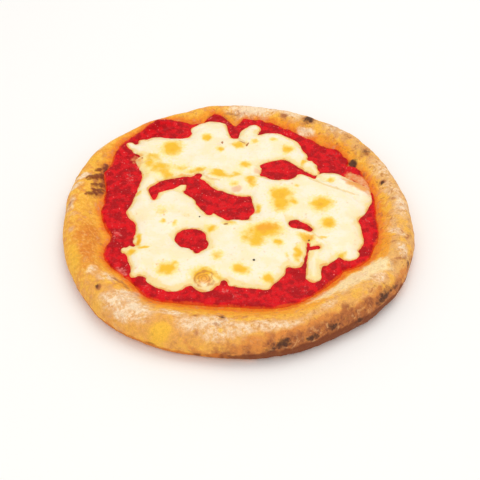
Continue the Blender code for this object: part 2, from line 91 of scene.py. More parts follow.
# Mozzarella, as in the CAD source: strokes are chains of discs (x, y, radius) that melt together
CHEESE_THICKNESS = 2.2
CHEESE_WAVE = 0.3
CHEESE_BLEND = 2.5
SLICE_BLEND = 2.0
BACK_SLICE = [
    [(-58.6, 55.5, 2.2), (-51, 54.6, 7), (-44, 53.8, 9.8), (-30, 48.6, 13.6)],
    [(-30, 48.6, 13.6), (-17, 49.8, 15.5), (-2, 47.8, 14.5), (10, 52.6, 12.5), (19, 55.2, 11.6)],
    [(-16.5, 63.5, 9.5), (-15, 70.2, 7.4)], [(-23, 69.8, 3.2), (-19, 71.6, 4.2)],
    [(-9.5, 64.4, 5.5), (-10.5, 72, 4.8)],
    [(19, 55.4, 11.5), (26, 53.6, 9), (32, 46.8, 5.8), (38.5, 38.3, 4.2), (41.5, 33.8, 2.4)],
    [(-50, 42.8, 5), (-44, 35.8, 8)], [(-2, 38.8, 9), (9, 35.8, 4.5)],
]
LEFT_SLICE = [
    [(-43, 33.8, 8.5), (-46.5, 27.8, 4.5), (-47.5, 18.8, 5.2), (-48, 7.8, 7), (-43, -5.2, 9),
     (-40, -19.2, 11)], [(-47, 2.8, 9.5), (-50, 2.3, 7)],
    [(-40, -19.2, 12), (-42, -29.2, 12.5), (-33, -39.2, 13), (-31, -45, 8.7)],
    [(-48, -26, 6.5), (-55.8, -25.8, 2.2)], [(-45, -34, 7.5), (-50, -42.2, 2.2)],
]
MIDDLE_SLICE = [
    [(-34, -39, 12), (-15, -35, 13), (2, -36, 14.8), (10, -37, 14)], [(5, -45.4, 5.8), (13, -49.4, 3.4)],
    [(-15.7, -46.5, 6.4), (-15.7, -47.6, 6.3)],
    [(-38, -6.2, 12), (-20, -21.2, 16), (0, -21.2, 18), (16, -21.2, 17)],
    [(-36, 10.8, 10), (-27, 6.8, 8), (-12, -9.2, 8)], [(-30, 20.8, 3), (-28, 24.3, 1.6)],
    [(24, -29.2, 8.5), (28, -33.1, 4.8)],
    [(16, -19.2, 15), (22, -1.2, 12), (20, 12.8, 12.5), (12, 22.8, 8), (3, 24, 9.6), (-8, 26.5, 7.5),
     (-13, 31.5, 6)], [(-26, 34.8, 4.6), (-10, 32.8, 6)], [(-38.5, 34.8, 7.8), (-34, 33, 4.7)],
]
RIGHT_SLICE = [
    [(24, 6.8, 12), (36, 13.8, 15.5), (50, 10.8, 15), (57, 6.8, 10.5)],
    [(45, 3.8, 14), (48, -9.2, 14.6), (50, -17.2, 13.5), (50, -22, 9.5), (54.8, -27.4, 5.6)],
    [(22, 20.8, 8), (34, 25.3, 7.2), (39, 25.8, 4)],
    [(44, -19.2, 7), (39, -27, 3.9), (37.4, -36, 3.8), (37, -44, 3.8)], [(41, -32, 4.8), (44.5, -28.5, 5)],
    [(28, -13.2, 6), (30, -23.2, 4.5), (29, -33, 3.6)], [(34, -14.2, 3.5), (38, -16.2, 4)],
    [(58.5, 4, 4.5), (64.3, 11.8, 6)],
]
CORNER_SLICE = [[(46.3, 28.6, 4.6), (51, 27.5, 5.8), (57, 22.3, 6.2), (63, 17.3, 6.8), (64.6, 13.6, 5.6)]]
SMALL_SLICE = [[(9, 70.6, 4.2), (6, 65.8, 5), (4.2, 62.2, 4.2)]]
CHEESE_WINDOWS = [
    [(-43.3, 13, 1.1), (-44, 19.6, 2.7), (-40.5, 21.9, 3.6), (-36, 24, 3.9), (-31, 26.7, 3),
     (-24, 26.8, 2.8), (-20.8, 31.2, 1.9)],
    [(-22.5, 25.2, 4.4), (-20.2, 19.2, 6.4), (-12.5, 11.3, 6.8), (-4.5, 6.2, 8.3), (2, 4.8, 6.2)],
    [(-16.5, 9.7, 5), (-14.6, 2, 1.8)],
    [(-24.5, -17, 6.8), (-22.5, -17.2, 7.1), (-19.8, -20.8, 5.2), (-20.2, -26, 1.5)],
    [(13.5, 38.5, 1.3), (17, 38, 3.8), (20.8, 35.5, 7.8), (26, 34.2, 6.1), (31.5, 35.8, 1.8),
     (36, 32.8, 0.9), (40.8, 29.6, 0.9)], [(29.3, -6.4, 3.1), (33.5, -7.9, 2), (36.6, -10.6, 1.6)],
    [(36.8, -24.1, 1.1), (39.8, -23.5, 1.1)], [(35.2, -23.7, 0.15), (33.9, -31.1, 0.25), (32.8, -37, 0.7)],
]
CHEESE_SEAMS = [
    [(38.2, 27.4, 0.5), (46.2, 21.2, 0.4), (56.4, 16.2, 0.4), (63, 13.4, 0.3)],
    [(-0.6, 63.6, 0.5), (1.6, 59.4, 0.6), (5.4, 55.6, 0.4)],
    [(36.6, -10.6, 0.4), (39, -16.5, 0.5), (42.6, -19.4, 0.3)], [(29.3, -6.4, 0.4), (26.2, -4.4, 0.3)],
    [(-19, 31.5, 0.5), (-14.6, 27.4, 0.4), (-9.6, 25.4, 0.3)],
    [(-55, 42, 0.2), (-51, 40.4, 0.3), (-47, 41.4, 0.1)],
]
CHEESE_DABS = [[(9.8, -2.2, 3.4)]]
CHEESE_BITES = [
    [(-56, 63, 1.8), (-56, 58.8, 1.5)], [(50, -33, 1.4), (50.1, -31.2, 0.8)],
    [(40.8, 46.8, 2.2), (39, 44.8, 1.2)], [(-53.5, -20.5, 1.4), (-52, -22, 1)],
    [(-24.6, -54, 2), (-24, -51.8, 1)], [(-6.5, -51, 2.6), (-6.3, -48, 1.8)], [(-46, -45.5, 1.6)],
    [(-3.6, 66, 1), (-2.5, 73, 3)],
]
WINDOW_BLEND = 0.8
SUNK_SPOTS = [
    (-36, 53, 5, 6.5, 0.45), (22, 12, 5, 8, 0.45), (43.5, 8, 5.5, 5, 0.45), (13, -14, 9, 6, 0.5),
    (46.5, -7, 3.2, 3.2, 0.35), (-35, -38, 4.5, 3.5, 0.4), (2, -40, 4.5, 3.4, 0.4), (-8, 32, 5, 3.5, 0.35),
    (-42, 39, 8, 6, 0.35), (28, 51.5, 3.2, 3, 0.3), (-17, 61.5, 2.2, 2, 0.3), (-10, -29, 3, 3, 0.3),
]
BURST_BUBBLE = (-15.7, -47.3, 4.4, 0.7, 1.5)
CORNER_LIFT = 0.6
SMALL_LIFT = 0.3

# Finer shape that only the looks have
CRUST_SECTIONS = 900
WELL_RINGS = (0.3, 0.6, 0.85, 0.97)
INNER_RINGS = 42
OUTER_RINGS = 24
BULGE_RINGS = 12
BASE_RINGS = 23
SEAT = 0.03               # between a layer and what it lies on, so that no gap shows at its edge
CHEESE_WALL = 0.12        # the upright foot of the cheese's edge
CHEESE_ROUNDING = 6.5
SAUCE_RISE = 0.34         # the bare sauce stands up about the cheese, whose edge is sunk in it
SLICE_LAP = 0.4           # height of a separate slice's lip over the sheet that it lies on
EDGE_RINGS = [0.12, 0.3, 0.6, 1.0, 1.5, 2.1, 2.8]
OUTLINE_SPACING = 0.55
OUTLINE_CELL = 0.5
INSIDE_SPACING = 0.52
BASE_SPACING = 4.0

# Ways that parts of the rim face, each where a kind of baking is strongest; at FRONT the dark foot band is
# strongest, partly browning and partly painted shade
FRONT = 270
BROWNED_WAY = 293
PALE_WAY = 262
OILY_WAY = 285
SMOOTH_WAY = 195
TAN_WAY = 10
OUTER_WALL_FROM = 0.75    # share of the rim's width

# Marks of baking on the crust: x, y, half widths along x and y before a turn, the turn if any, strength
FLOUR_PATCHES = [
    (-47, -69, 9, 6, -40, 1), (-52, -60, 6, 7, -30, 0.8), (-62, -48, 5, 4, 0.6),
    (-60, -64, 7, 5, -40, 0.7), (-70, -45, 3.4, 3, 0.6), (-54, -72, 4, 3, -30, 0.9),
    (-21, -79.5, 8, 4, -8, 0.75), (-9, -78, 8, 4.6, 0.8), (-8, -85, 9, 3, 0.65),
    (-30, -72, 7, 3, -15, 0.8), (4, -81, 7, 4, 0.65), (14, -81, 8, 3.4, 5, 0.75), (24, -79, 7, 3, 15, 0.5),
    (33, -75, 6, 2.4, 28, 0.35), (43, -67, 7, 2.4, 38, 0.5), (56, -56, 5, 3, 50, 0.35),
    (45, -54.5, 6, 2.4, 32, 0.55), (60, -46.5, 6, 2.6, 38, 0.6), (68, -50, 5, 3, 50, 0.7),
    (81, -30.5, 3, 5, 10, 0.9), (80, -17, 6, 2.4, -47, 0.8), (78, -8, 4, 5, 10, 0.3), (84, 2, 4, 9, 0.8),
    (80, 15, 5, 8, 20, 0.5), (77, 32, 7, 9, 25, 0.6), (38, 67, 5, 2.4, -25, 1), (8, 84, 14, 4.4, -5, 1),
    (14, 86, 12, 4.4, -8, 1), (32, 79, 8, 3.4, -25, 0.8), (55, 66, 8, 4, -42, 0.8), (-81, 24, 5, 2, 25, 1),
    (-84, 17.5, 4.4, 1.8, 20, 0.9), (-50, 78, 12, 2, 32, 0.5), (-64, 64, 8, 1.6, 42, 0.5),
    (-30, 85, 9, 2.5, 18, 0.8), (-86, 2, 3, 4, 0.5), (-83, -4, 3, 2, 0.4), (-84.5, 8, 2.4, 4, 0.5),
    (-74, 50, 5, 2, 50, 0.6), (-82, -16, 2.4, 3, 0.35),
]
TOASTED_PATCHES = [
    (-72, 21, 5, 7, 0.6), (-70, 31, 4, 8, 0.85), (-73.5, 13.4, 5, 2.6, 30, 0.55),
    (-85, 27, 2.4, 2.4, 0.75), (-87, 4, 1.8, 3, 0.5), (-66.8, -55, 2, 2.4, 0.9),
    (-58, -49, 3, 1.6, -40, 0.6), (-53, -52, 4, 1.8, -35, 0.65), (-45, -59, 5, 1.8, -30, 0.5),
    (-7, -74, 1.4, 2.6, 0.9), (-19, -75, 2.4, 1.2, 0.6), (-9, -81, 3, 1.8, 0.6),
    (-20, -60.5, 2, 1.3, 0.75), (-19, -84, 4, 2, 0.4), (84, -36, 3, 4, -20, 0.6),
    (80, -35.5, 4, 1.2, 20, 0.55), (78, -24.5, 3.4, 1.4, 10, 0.55), (86, -18, 2, 6, -10, 0.4),
    (52.5, 66, 4, 2.4, -40, 0.5), (69.1, 45.9, 4.6, 2.6, -40, 0.85), (26.4, 79, 3, 2.4, 0.7),
    (39.6, 74, 4.4, 3.4, 0.8), (62.4, 41.6, 3.6, 4, 0.85), (60, 58, 5, 2, -45, 0.5),
    (67.2, 32, 1, 2.4, 0.6), (76, 21.7, 1.9, 1.9, 0.9), (-2, 82.5, 7, 1.1, 0.6), (73, 0, 1.6, 5, 0.3),
    (44, -79, 3, 2, 30, 0.4), (80, 8, 4, 1.2, -30, 0.6), (79, 14, 3, 1, 30, 0.55),
    (75, -40, 4, 2, 40, 0.5), (70, -55, 4, 3, 40, 0.5), (-79, -12, 2, 1, 0.4), (-68, -22, 1.4, 2, 0.4),
    (-74, 40, 3, 1.2, 60, 0.4),
]
CHARRED_PATCHES = [
    (39.6, 73.6, 3.2, 2.4, 1), (62.4, 41.6, 2.6, 2.9, 20, 1), (69.3, 46.2, 2.6, 1.4, -40, 0.6),
    (76, 21.5, 1.1, 1.2, 0.9), (-7, -73.9, 0.8, 1.3, 0.75), (-66.8, -55, 1, 1.1, 0.7),
    (-85, 27, 1.2, 1.2, 0.5),
]
DEEP_PATCHES = [
    (-74, -20, 9, 14, 0.9), (-74, -36, 8, 9, 0.6), (-84, 6, 4, 9, 0.4), (-36, -63, 12, 3, 0.6),
    (2, -66, 16, 3, 0.7), (71, 6, 3, 14, 0.9), (66, 26, 3, 9, 25, 0.7), (33, 74, 11, 3, -28, 0.6),
    (-35, 82, 12, 2.5, 22, 0.5), (58, -63, 6, 4, 42, 0.7), (-58, -75, 8, 3, -35, 0.6),
    (-65, 26, 3, 7, 0.8), (76, -22, 4, 5, 0.8), (50, 60, 6, 3, -40, 0.6), (-72, 48, 6, 5, 40, 0.5),
    (-27, -82, 5, 3, 10, 0.6), (70, -24, 4, 7, 30, 0.7), (76, -6, 3, 6, 0.6), (-69, -42, 6, 4, -40, 0.6),
]
BRIGHT_PATCHES = [
    (-35.5, -82, 7, 4.2, 6, 1), (-80, -34, 3.4, 12, 12, 0.8), (-79, 3, 4, 6, 0.5),
    (-78, 40, 5, 5, 30, 0.7), (-8, -83, 2, 1.6, 0.8), (66, 40, 3, 9, 35, 0.5), (-66, -64, 5, 3, -50, 0.6),
    (57, -60, 5, 3.4, 45, 0.7),
]
CREAM_RIDGE = [(36, -59.5, 0.6), (43.4, -54, 1.2), (52, -50.4, 2.2), (60.6, -45.6, 2.4), (68.4, -40, 1)]
PITS = [
    (-66.8, -55, 1.2, 0.6), (-7, -74, 1.1, 0.6), (-9, -82, 1.3, 0.35), (76, 21.5, 1.2, 0.6),
    (-20, -60.5, 1.1, 0.4), (-50, -53, 1.3, 0.35), (26.4, 79, 1.6, 0.3), (-19, -75, 1, 0.35),
]
BURNT_FOLDS = [
    [(-78.6, 21.8, 0.1), (-74.6, 25.4, 0.7), (-71.4, 28.6, 0.8)],
    [(-69.6, 37.4, 0.2), (-69.4, 31.8, 1), (-69.2, 27, 0.5)], [(-76, 18.9, 0), (-70.1, 22.1, 0.3)],
    [(-77.9, 11, 0.1), (-74.4, 13.4, 0.4), (-70.2, 16.8, 0.1)], [(-74.4, 16, 0), (-71, 18.6, 0.1)],
    [(-75.4, 30, 0), (-72.6, 33, 0.1)],
]
FOLD_HEIGHT = 0.7

# Scorched spots on the rim's outer side: angle, height, half width in degrees, half height, strength
CHARRED_SIDE = [
    (283, 10.4, 3.2, 1.9, 1), (280, 8.6, 2.4, 1.2, 0.7), (292.5, 10, 2, 1.4, 1),
    (300, 10.8, 2.4, 1.8, 0.85), (304.5, 11.6, 2, 0.9, 0.55), (308.5, 8.2, 1.8, 1.6, 0.9),
    (319.6, 10.4, 3.4, 2.2, 0.9), (324.4, 10.4, 2.4, 1.2, 0.6), (336, 10.8, 1.5, 1.5, 0.7),
    (268, 7.4, 2, 1.2, 0.5), (257, 6.2, 2.4, 1, 0.5),
]

# Marks on the cheese, in the same form
GOLD_SPOTS = [
    (-35.6, 51.3, 5.2, 5.9, 1), (-16.7, 60.8, 2.4, 2.8, 1), (-9.5, 50.7, 2.2, 1.9, 0.7),
    (1, 54.9, 3.5, 3.2, 0.8), (-47.8, 41.4, 3.4, 5, 0.6), (-40.6, 35.4, 6.4, 5.2, -20, 0.75),
    (-37.3, 30.1, 2.6, 2.1, 0.7), (-9.8, 31.2, 4.6, 3.6, -20, 0.95), (-24, 33.5, 5, 1.6, 10, 0.5),
    (4, 37.8, 3.1, 2.4, 0.8), (-0.5, 30.7, 2.4, 2.6, 0.7), (7, 25.9, 3.1, 3.2, 0.9),
    (8.1, 20.8, 2.4, 2.1, 0.6), (-1.7, 22.5, 2.8, 1.9, 0.6), (20, 59.3, 2.2, 1.6, 0.5),
    (27.4, 50.8, 3.1, 3.4, 0.7), (35.8, 41, 1.5, 2.6, -30, 0.6), (9.6, 57.6, 2.3, 2.1, 0.5),
    (22.6, 14.6, 5.9, 4.6, 1), (22.3, 6.3, 4.3, 5.3, 1), (29, 8.4, 2, 2.6, 0.75),
    (31, 20.9, 1.1, 1.3, 0.6), (43.3, 6.8, 5.6, 5.1, 1), (48.8, 25.4, 2.8, 1.7, 0.55),
    (45.9, -7.8, 3.4, 4.4, 0.95), (42.7, -18.4, 2.3, 1, 10, 0.5), (13.8, -12.5, 8.2, 5.6, 8, 1),
    (9.5, -21, 3.8, 4.2, 0.9), (20.5, -21.6, 2.4, 2.9, 30, 0.8), (3.5, -18, 2.4, 4, 0.5),
    (29.8, -29.5, 2, 5.6, -8, 0.85), (24.6, -30.5, 1, 1.6, 0.4), (1.7, -40.6, 4.3, 3.1, -12, 1),
    (15.1, -46.6, 2.8, 3.2, -20, 0.85), (51.3, -29.8, 2.8, 1.8, 0.7), (34.5, -17.5, 4.4, 2.6, -30, 0.75),
    (10.9, 3.8, 1.2, 3.2, 0.6), (-4.4, -7.3, 4.2, 2.6, 0.45), (-34.4, -40.2, 5, 4.2, 15, 0.9),
    (-30, -36.6, 1.7, 1.3, 30, 0.6), (-13.4, -11.7, 3, 2.4, 0.75), (-9.9, -30.9, 3, 3.7, 0.6),
    (-8.3, -45.4, 1.8, 1.6, 0.6), (-16.3, -44, 5.8, 4.2, 0.95), (-49.3, -19.6, 1.4, 5, 0.85),
    (-46.8, -25.2, 3.2, 0.9, 0.85), (-53.2, -28, 3, 2.2, 0.6), (-38.9, 1.5, 3.4, 4.2, 0.35),
    (-38.1, -6.7, 1.4, 1.6, 0.5), (-31.9, -7.5, 1.2, 2.1, 0.5), (-51.5, 16, 1.6, 3, 0.55),
    (-30, 36, 3, 2, 0.5), (-20, 35.5, 4, 1.6, 0.45), (-45, 46, 4, 2, -20, 0.45), (-4, 28, 3, 1.6, 0.5),
    (12, 29.5, 2, 1.6, 0.4),
]
AMBER_SPOTS = [
    (-35, 50.3, 3, 3.2, 0.5), (22.8, 13.6, 4, 3, 0.6), (21.6, 5.2, 2.4, 2.6, 0.5), (43, 5.8, 3, 2.6, 0.45),
    (14.4, -11, 6, 3.8, 8, 0.95), (1.2, -41, 2.4, 1.5, -12, 0.5), (46, -8.2, 1.6, 2, 0.5),
    (-16.4, -47.6, 5, 4.4, 0.95), (-34, -41, 2, 1.6, 0.35), (6.6, 24.6, 1.8, 2.2, 0.7),
    (-9.3, 30.2, 2.4, 1.5, -20, 0.5), (36.4, -17.6, 3, 1.6, -30, 0.8), (-49.4, -21, 1, 3.4, 0.7),
    (62.6, 21.6, 6.4, 4, -30, 1), (65, 18, 3, 3, 0.6), (-52.5, 42, 2.4, 4.4, 0.7), (51, -30, 1.6, 1, 0.4),
    (29.8, -31, 1.2, 3.4, -8, 0.4), (-41, 33.4, 2, 1.6, 0.4), (4, 55.6, 2.4, 1.2, -20, 0.6),
    (-10.4, 54.4, 1.6, 2.6, 0.5),
]
PINK_PATCHES = [
    (11, 33, 3.4, 3, 0.75), (15, 28, 3.4, 2.2, -30, 0.65), (-0.1, 18.7, 3.6, 2.4, 0.9),
    (4, 30, 3, 1.6, 0.4), (-17.5, 32.4, 3, 1.4, 20, 0.5), (-55.3, 41.6, 3, 3.6, 0.9),
    (57, 25.6, 5, 2.2, -30, 0.7), (63, 20.8, 6.6, 3.8, -30, 1), (67.6, 16.8, 2.4, 4, 0.8),
    (-2, 36, 3, 2, 0.35), (-15.4, -48.6, 2.8, 2.2, 1),
]
BROWN_SPECKS = [
    (5.6, 55, 0.8, 2, -20, 1), (-8.4, 55.8, 0.9, 1.2, 0.85), (-5.9, -8.3, 1.3, 0.9, 0.8),
    (-51.6, 43.6, 0.8, 1.4, 0.7), (-9.6, 53.4, 0.6, 1.6, 0.5), (2.4, 57.6, 2.4, 0.6, -38, 0.7),
]
PALE_SAUCE = [
    (-57, -41, 3.6, 4.4, 30, 0.9), (-61, -14, 4, 6, 0.6), (-6, -53, 3.4, 3, 0.6), (0, -57, 4, 3, 0.5),
    (-6, 76, 3, 4, 0.5), (-57, 30, 4, 6, 0.5), (66, -2, 3, 6, 0.35), (52, 47, 5, 6, 0.4),
    (33, -52, 5, 4, 0.4), (-30, -57, 6, 3, 0.35), (-44, -51, 3, 3, 0.5), (-52, 39, 3.4, 3.6, 0.7),
]

# A film of cheese that has run out thin over the sauce
CHEESE_FILM = [
    (61.5, 30.4, 4.4, 2.6, -35, 0.9), (65.6, 26.4, 3.4, 4, -20, 1), (68.6, 21.5, 2.2, 4.6, 0.9),
    (59, 28.6, 3, 2.4, 0.7), (-54.6, 43.6, 2.6, 4.4, 25, 0.6),
]

# Grains of pepper on the cheese: x, y, radius
PEPPER = [(8.1, -34.8, 0.48), (35.9, -18.9, 0.42), (-19.2, -3.5, 0.42)]

# Colours of the surfaces, 0 to 255
GOLDEN = (248, 184, 66)
PALE_GOLD = (252, 208, 116)
DEEP_GOLD = (224, 126, 38)
OILED = (247, 164, 36)
OILED_EDGE = (234, 112, 24)
FLOUR_TAN = (232, 176, 116)
FLOURED = (249, 226, 192)
TAN = (232, 178, 112)
BRIGHT_GOLD = (250, 192, 58)
# The next colour is painted shade in the rim's creases
CREASE_SHADE = (168, 100, 54)
# The next two colours are the foot band's: browning with painted shade in it
FOOT_BROWN = (118, 56, 28)
FOOT_ORANGE = (204, 114, 38)
RIDGE_CREAM = (254, 230, 176)
PALE_FRONT = (233, 166, 82)
FOLD_BROWN = (118, 46, 24)
SIDE_ORANGE = (220, 136, 62)
TOASTED = (172, 98, 54)
DARK_TOAST = (124, 68, 44)
CHARRED = (70, 44, 34)
RED = (222, 15, 26)
DARK_RED = (174, 9, 19)
# The next colour is the sauce's pale patches and also its painted glints
PALE_RED = (244, 138, 130)
ORANGE_RED = (236, 92, 30)
CREAM = (252, 239, 213)
THIN_CREAM = (252, 226, 158)
GOLD = (245, 189, 12)
GOLD_HALO = (252, 230, 146)
AMBER = (240, 158, 20)
CHEESE_EDGE = (250, 178, 84)
PINK = (240, 190, 150)
FILM_ORANGE = (234, 148, 84)
SPECK_BROWN = (176, 104, 40)
# The next colour is painted shade along the cheese's seams
SEAM_SHADE = (240, 206, 140)
RING_BROWN = (190, 112, 44)
PEPPER_BLACK = (44, 36, 30)
PEPPER_GREY = (96, 82, 66)
FLOOR_WHITE = (250, 249, 247)

# Camera: the photo's viewing angle, in degrees, and distances in metres
CAMERA_LENS = 85
SENSOR_WIDTH = 36
CAMERA_ELEVATION = 44
CAMERA_DISTANCE = 0.5812
CAMERA_TARGET = (0.00135, -0.0088, 0)

# Lights: name, place and size in metres, power, colour
LIGHTS = [
    ("key", (0.16, 0.26, 0.86), 0.7, 2.2, (1, 0.99, 0.975)),
    ("fill", (-0.1, -0.7, 0.62), 1.2, 1.9, (1, 0.98, 0.95)),
]

# The even pale surround and the floor, whose half width is in metres
SURROUND_COLOR = (1.0, 0.99, 0.975, 1)
SURROUND_STRENGTH = 0.76
FLOOR_HALF = 3.0


def smoothstep(t):
    t = np.clip(t, 0, 1)
    return t * t * (3 - 2 * t)


def swells(angle, rows):
    """The sum of the rows' swellings at an angle."""
    total = np.zeros_like(angle)
    for at, height, width in rows:
        off = (angle - at + 180) % 360 - 180
        total += height * np.exp(-(off / width) ** 2)
    return total


def place_at(angle, radius):
    """x and y at an angle and a distance from the middle."""
    turn = np.radians(angle)
    return radius * np.cos(turn), radius * np.sin(turn)


def waves(seed, count, shortest, longest):
    """Seeded plane waves as rows of (wave number x, wave number y, phase)."""
    draws = np.random.default_rng(seed)
    turn = draws.uniform(0, 2 * math.pi, count)
    number = 2 * math.pi / draws.uniform(shortest, longest, count)
    phase = draws.uniform(0, 2 * math.pi, count)
    return np.stack([number * np.cos(turn), number * np.sin(turn), phase], axis=1)


def ripple(x, y, rows):
    """The waves' sum, scaled to about -1 to 1."""
    total = sum(np.cos(across * x + along * y + phase) for across, along, phase in rows)
    return total / math.sqrt(2 * len(rows))


RIM_WAVES = waves(11, 14, 14, 34)
EDGE_WAVES = waves(12, 8, 16, 40)
CHEESE_WAVES = waves(14, 12, 13, 30)

NOISE_TABLE = np.random.default_rng(21).uniform(-1, 1, 8192)
NOISE_PRIMES = (73856093, 19349663, 83492791)


def noise(x, y, z, size, offset=0):
    """Smooth noise between -1 and 1 whose lumps are about the size; the offset picks another part of it."""
    cells = []
    shares = []
    for value in (x, y, z):
        scaled = value / size + offset
        cell = np.floor(scaled)
        cells.append(cell.astype(np.int64))
        shares.append(smoothstep(scaled - cell))
    total = 0
    for corner in range(8):
        key = 0
        weight = 1
        for axis in range(3):
            step = corner >> axis & 1
            key = key ^ (cells[axis] + step) * NOISE_PRIMES[axis]
            weight = weight * (shares[axis] if step else 1 - shares[axis])
        total = total + weight * NOISE_TABLE[key % len(NOISE_TABLE)]
    return total


def rough(x, y, z, size, offset=0, octaves=3):
    """Noise with finer noise on it, each octave half the size and half the height of the last."""
    total = sum(noise(x, y, z, size / 2 ** i, offset + 7.3 * i) / 2 ** i for i in range(octaves))
    return total / 1.5


def patches(x, y, rows, sharpness=1.3):
    """How strongly a point lies in any of the rows' soft oval patches, from 0 to 1."""
    clear = np.ones_like(x)
    for across, along, wide, deep, *turn, strength in rows:
        cosine = math.cos(math.radians(sum(turn)))
        sine = math.sin(math.radians(sum(turn)))
        u = ((x - across) * cosine + (y - along) * sine) / wide
        v = ((y - along) * cosine - (x - across) * sine) / deep
        clear *= 1 - strength * np.exp(-np.clip(u ** 2 + v ** 2, 0, 60) ** sharpness)
    return 1 - clear


def round_spots(x, y, rows, edge):
    """The sum of round spots, rows of x, y, radius and height, whose edges are steeper as edge grows."""
    spots = (height * np.exp(-(np.hypot(x - across, y - along) / radius) ** (2 * edge))
             for across, along, radius, height in rows)
    return sum(spots)


def bent(x, y, z, size, amount, seed_x, seed_y):
    """x and y with an uneven shift, so that the borders of marks wander."""
    return x + amount * rough(x, y, z, size, seed_x), y + amount * rough(x, y, z, size, seed_y)


def facing(angle, way, gain, shift):
    """How far the rim at an angle faces a way, from 0 to 1. A greater gain makes the change quicker."""
    return smoothstep(gain * np.cos(np.radians(angle - way)) + shift)


def stroke_distance(x, y, discs):
    """Distance outside a chain of discs joined by tapered bars, negative inside it."""
    pairs = list(zip(discs, discs[1:])) or [(discs[0], discs[0])]
    nearest = np.full_like(x, np.inf)
    for (x0, y0, r0), (x1, y1, r1) in pairs:
        run_x = x1 - x0
        run_y = y1 - y0
        length_squared = run_x ** 2 + run_y ** 2 + 1e-9
        share = np.clip(((x - x0) * run_x + (y - y0) * run_y) / length_squared, 0, 1)
        gap = np.hypot(x - x0 - share * run_x, y - y0 - share * run_y) - (r0 + share * (r1 - r0))
        nearest = np.minimum(nearest, gap)
    return nearest


def nearest_stroke(x, y, strokes):
    return np.min([stroke_distance(x, y, discs) for discs in strokes], axis=0)


def melt(a, b, blend):
    """The lesser of two distances, with the corner between them filled over about the blend."""
    share = np.clip(0.5 + 0.5 * (b - a) / blend, 0, 1)
    return b + (a - b) * share - blend * share * (1 - share)


def melted(x, y, strokes, blend):
    """Distance outside strokes that run together, negative inside them."""
    total = stroke_distance(x, y, strokes[0])
    for discs in strokes[1:]:
        total = melt(total, stroke_distance(x, y, discs), blend)
    return total


def ragged(x, y):
    """A slight raggedness of the cheese's edges."""
    return 0.28 * noise(x, y, 0, 2.6, 3) + 0.12 * noise(x, y, 0, 1.1, 9)


def corner_field(x, y):
    return melted(x, y, CORNER_SLICE, SLICE_BLEND) + ragged(x, y)


def small_field(x, y):
    return melted(x, y, SMALL_SLICE, SLICE_BLEND) + ragged(x, y)


def sheet_field(x, y):
    """The fused slices, less the windows and the bites. The two separate slices lie over its edge."""
    strokes = BACK_SLICE + LEFT_SLICE + MIDDLE_SLICE + RIGHT_SLICE + CHEESE_DABS
    total = melted(x, y, strokes, CHEESE_BLEND)
    for discs in CHEESE_WINDOWS + CHEESE_BITES:
        total = -melt(-total, stroke_distance(x, y, discs), WINDOW_BLEND)
    return total + ragged(x, y)


def seam_depth(x, y):
    """1 along the seams where slices of cheese ran into one another, and 0 away from them."""
    nearest = nearest_stroke(x, y, CHEESE_SEAMS) + 0.3 * noise(x, y, 0, 2, 19)
    return 1 - smoothstep((nearest + 0.1) / 0.7)


def burst_rings(x, y):
    """The browned rings of the burst bubble, 1 on them and 0 away from them."""
    across, along, radius, _, _ = BURST_BUBBLE
    reach = np.hypot(x - across, y - along) + 0.8 * noise(x, y, 0, 2, 29)
    rings = [np.exp(-((reach - radius * share) / 0.6) ** 2) for share in (0.98, 0.58, 0.2)]
    return np.max(rings, axis=0)


def bare_distance(x, y):
    """Distance from a point of the sauce to the nearest cheese, negative under the cheese."""
    return np.minimum(sheet_field(x, y), np.minimum(corner_field(x, y), small_field(x, y)))


def off_centre_circle(angle, radius):
    """Distance from the middle to a circle about the well's centre, along an angle."""
    cosine, sine = place_at(angle, 1)
    along = WELL_CENTRE[0] * cosine + WELL_CENTRE[1] * sine
    across = WELL_CENTRE[0] * sine - WELL_CENTRE[1] * cosine
    return along + np.sqrt(radius ** 2 - across ** 2)


def outer_edge(angle):
    wobble = ripple(*place_at(angle, OUTER_RADIUS), EDGE_WAVES)
    return OUTER_RADIUS + swells(angle, OUTER_SWELLS) + OUTER_WOBBLE * wobble


def well_edge(angle):
    return off_centre_circle(angle, WELL_RADIUS) + swells(angle, WELL_SWELLS)


def sauce_edge(angle):
    return off_centre_circle(angle, SAUCE_RADIUS) + swells(angle, SAUCE_SWELLS)


def rim_top(share):
    """Height of the nominal rim's top, from the well's edge (0) to the outermost line (1)."""
    inner = WELL_FLOOR + (CREST_HEIGHT - WELL_FLOOR) * smoothstep(share / CREST_AT)
    past = np.clip((share - CREST_AT) / (1 - CREST_AT), 0, 1)
    outer = BULGE_HEIGHT + (CREST_HEIGHT - BULGE_HEIGHT) * np.sqrt(1 - past ** 2)
    return np.where(share < CREST_AT, inner, outer)


def rim_relief(x, y):
    """Lumps and bubbles that the baked rim has at full height."""
    return LUMP_HEIGHT * ripple(x, y, RIM_WAVES) + round_spots(x, y, RIM_BUBBLES, SPOT_EDGE)


def rim_height(angle, radius, nominal):
    """The true height of a rim point whose nominal height is given."""
    width = outer_edge(angle) - well_edge(angle)
    breadth = smoothstep((width - THIN_RIM) / (WIDE_RIM - THIN_RIM))
    crest = THIN_CREST_HEIGHT + (CREST_HEIGHT - THIN_CREST_HEIGHT) * breadth
    rise = np.clip((nominal - WELL_FLOOR) / (CREST_HEIGHT - WELL_FLOOR), 0, 1)
    relief = smoothstep(rise / RELIEF_FROM) * rim_relief(*place_at(angle, radius))
    return nominal + rise * (crest - CREST_HEIGHT) + relief


def crust_top(x, y):
    angle = np.degrees(np.arctan2(y, x))
    radius = np.hypot(x, y)
    inner = well_edge(angle)
    share = np.clip((radius - inner) / (outer_edge(angle) - inner), 0, 1)
    return rim_height(angle, radius, rim_top(share))


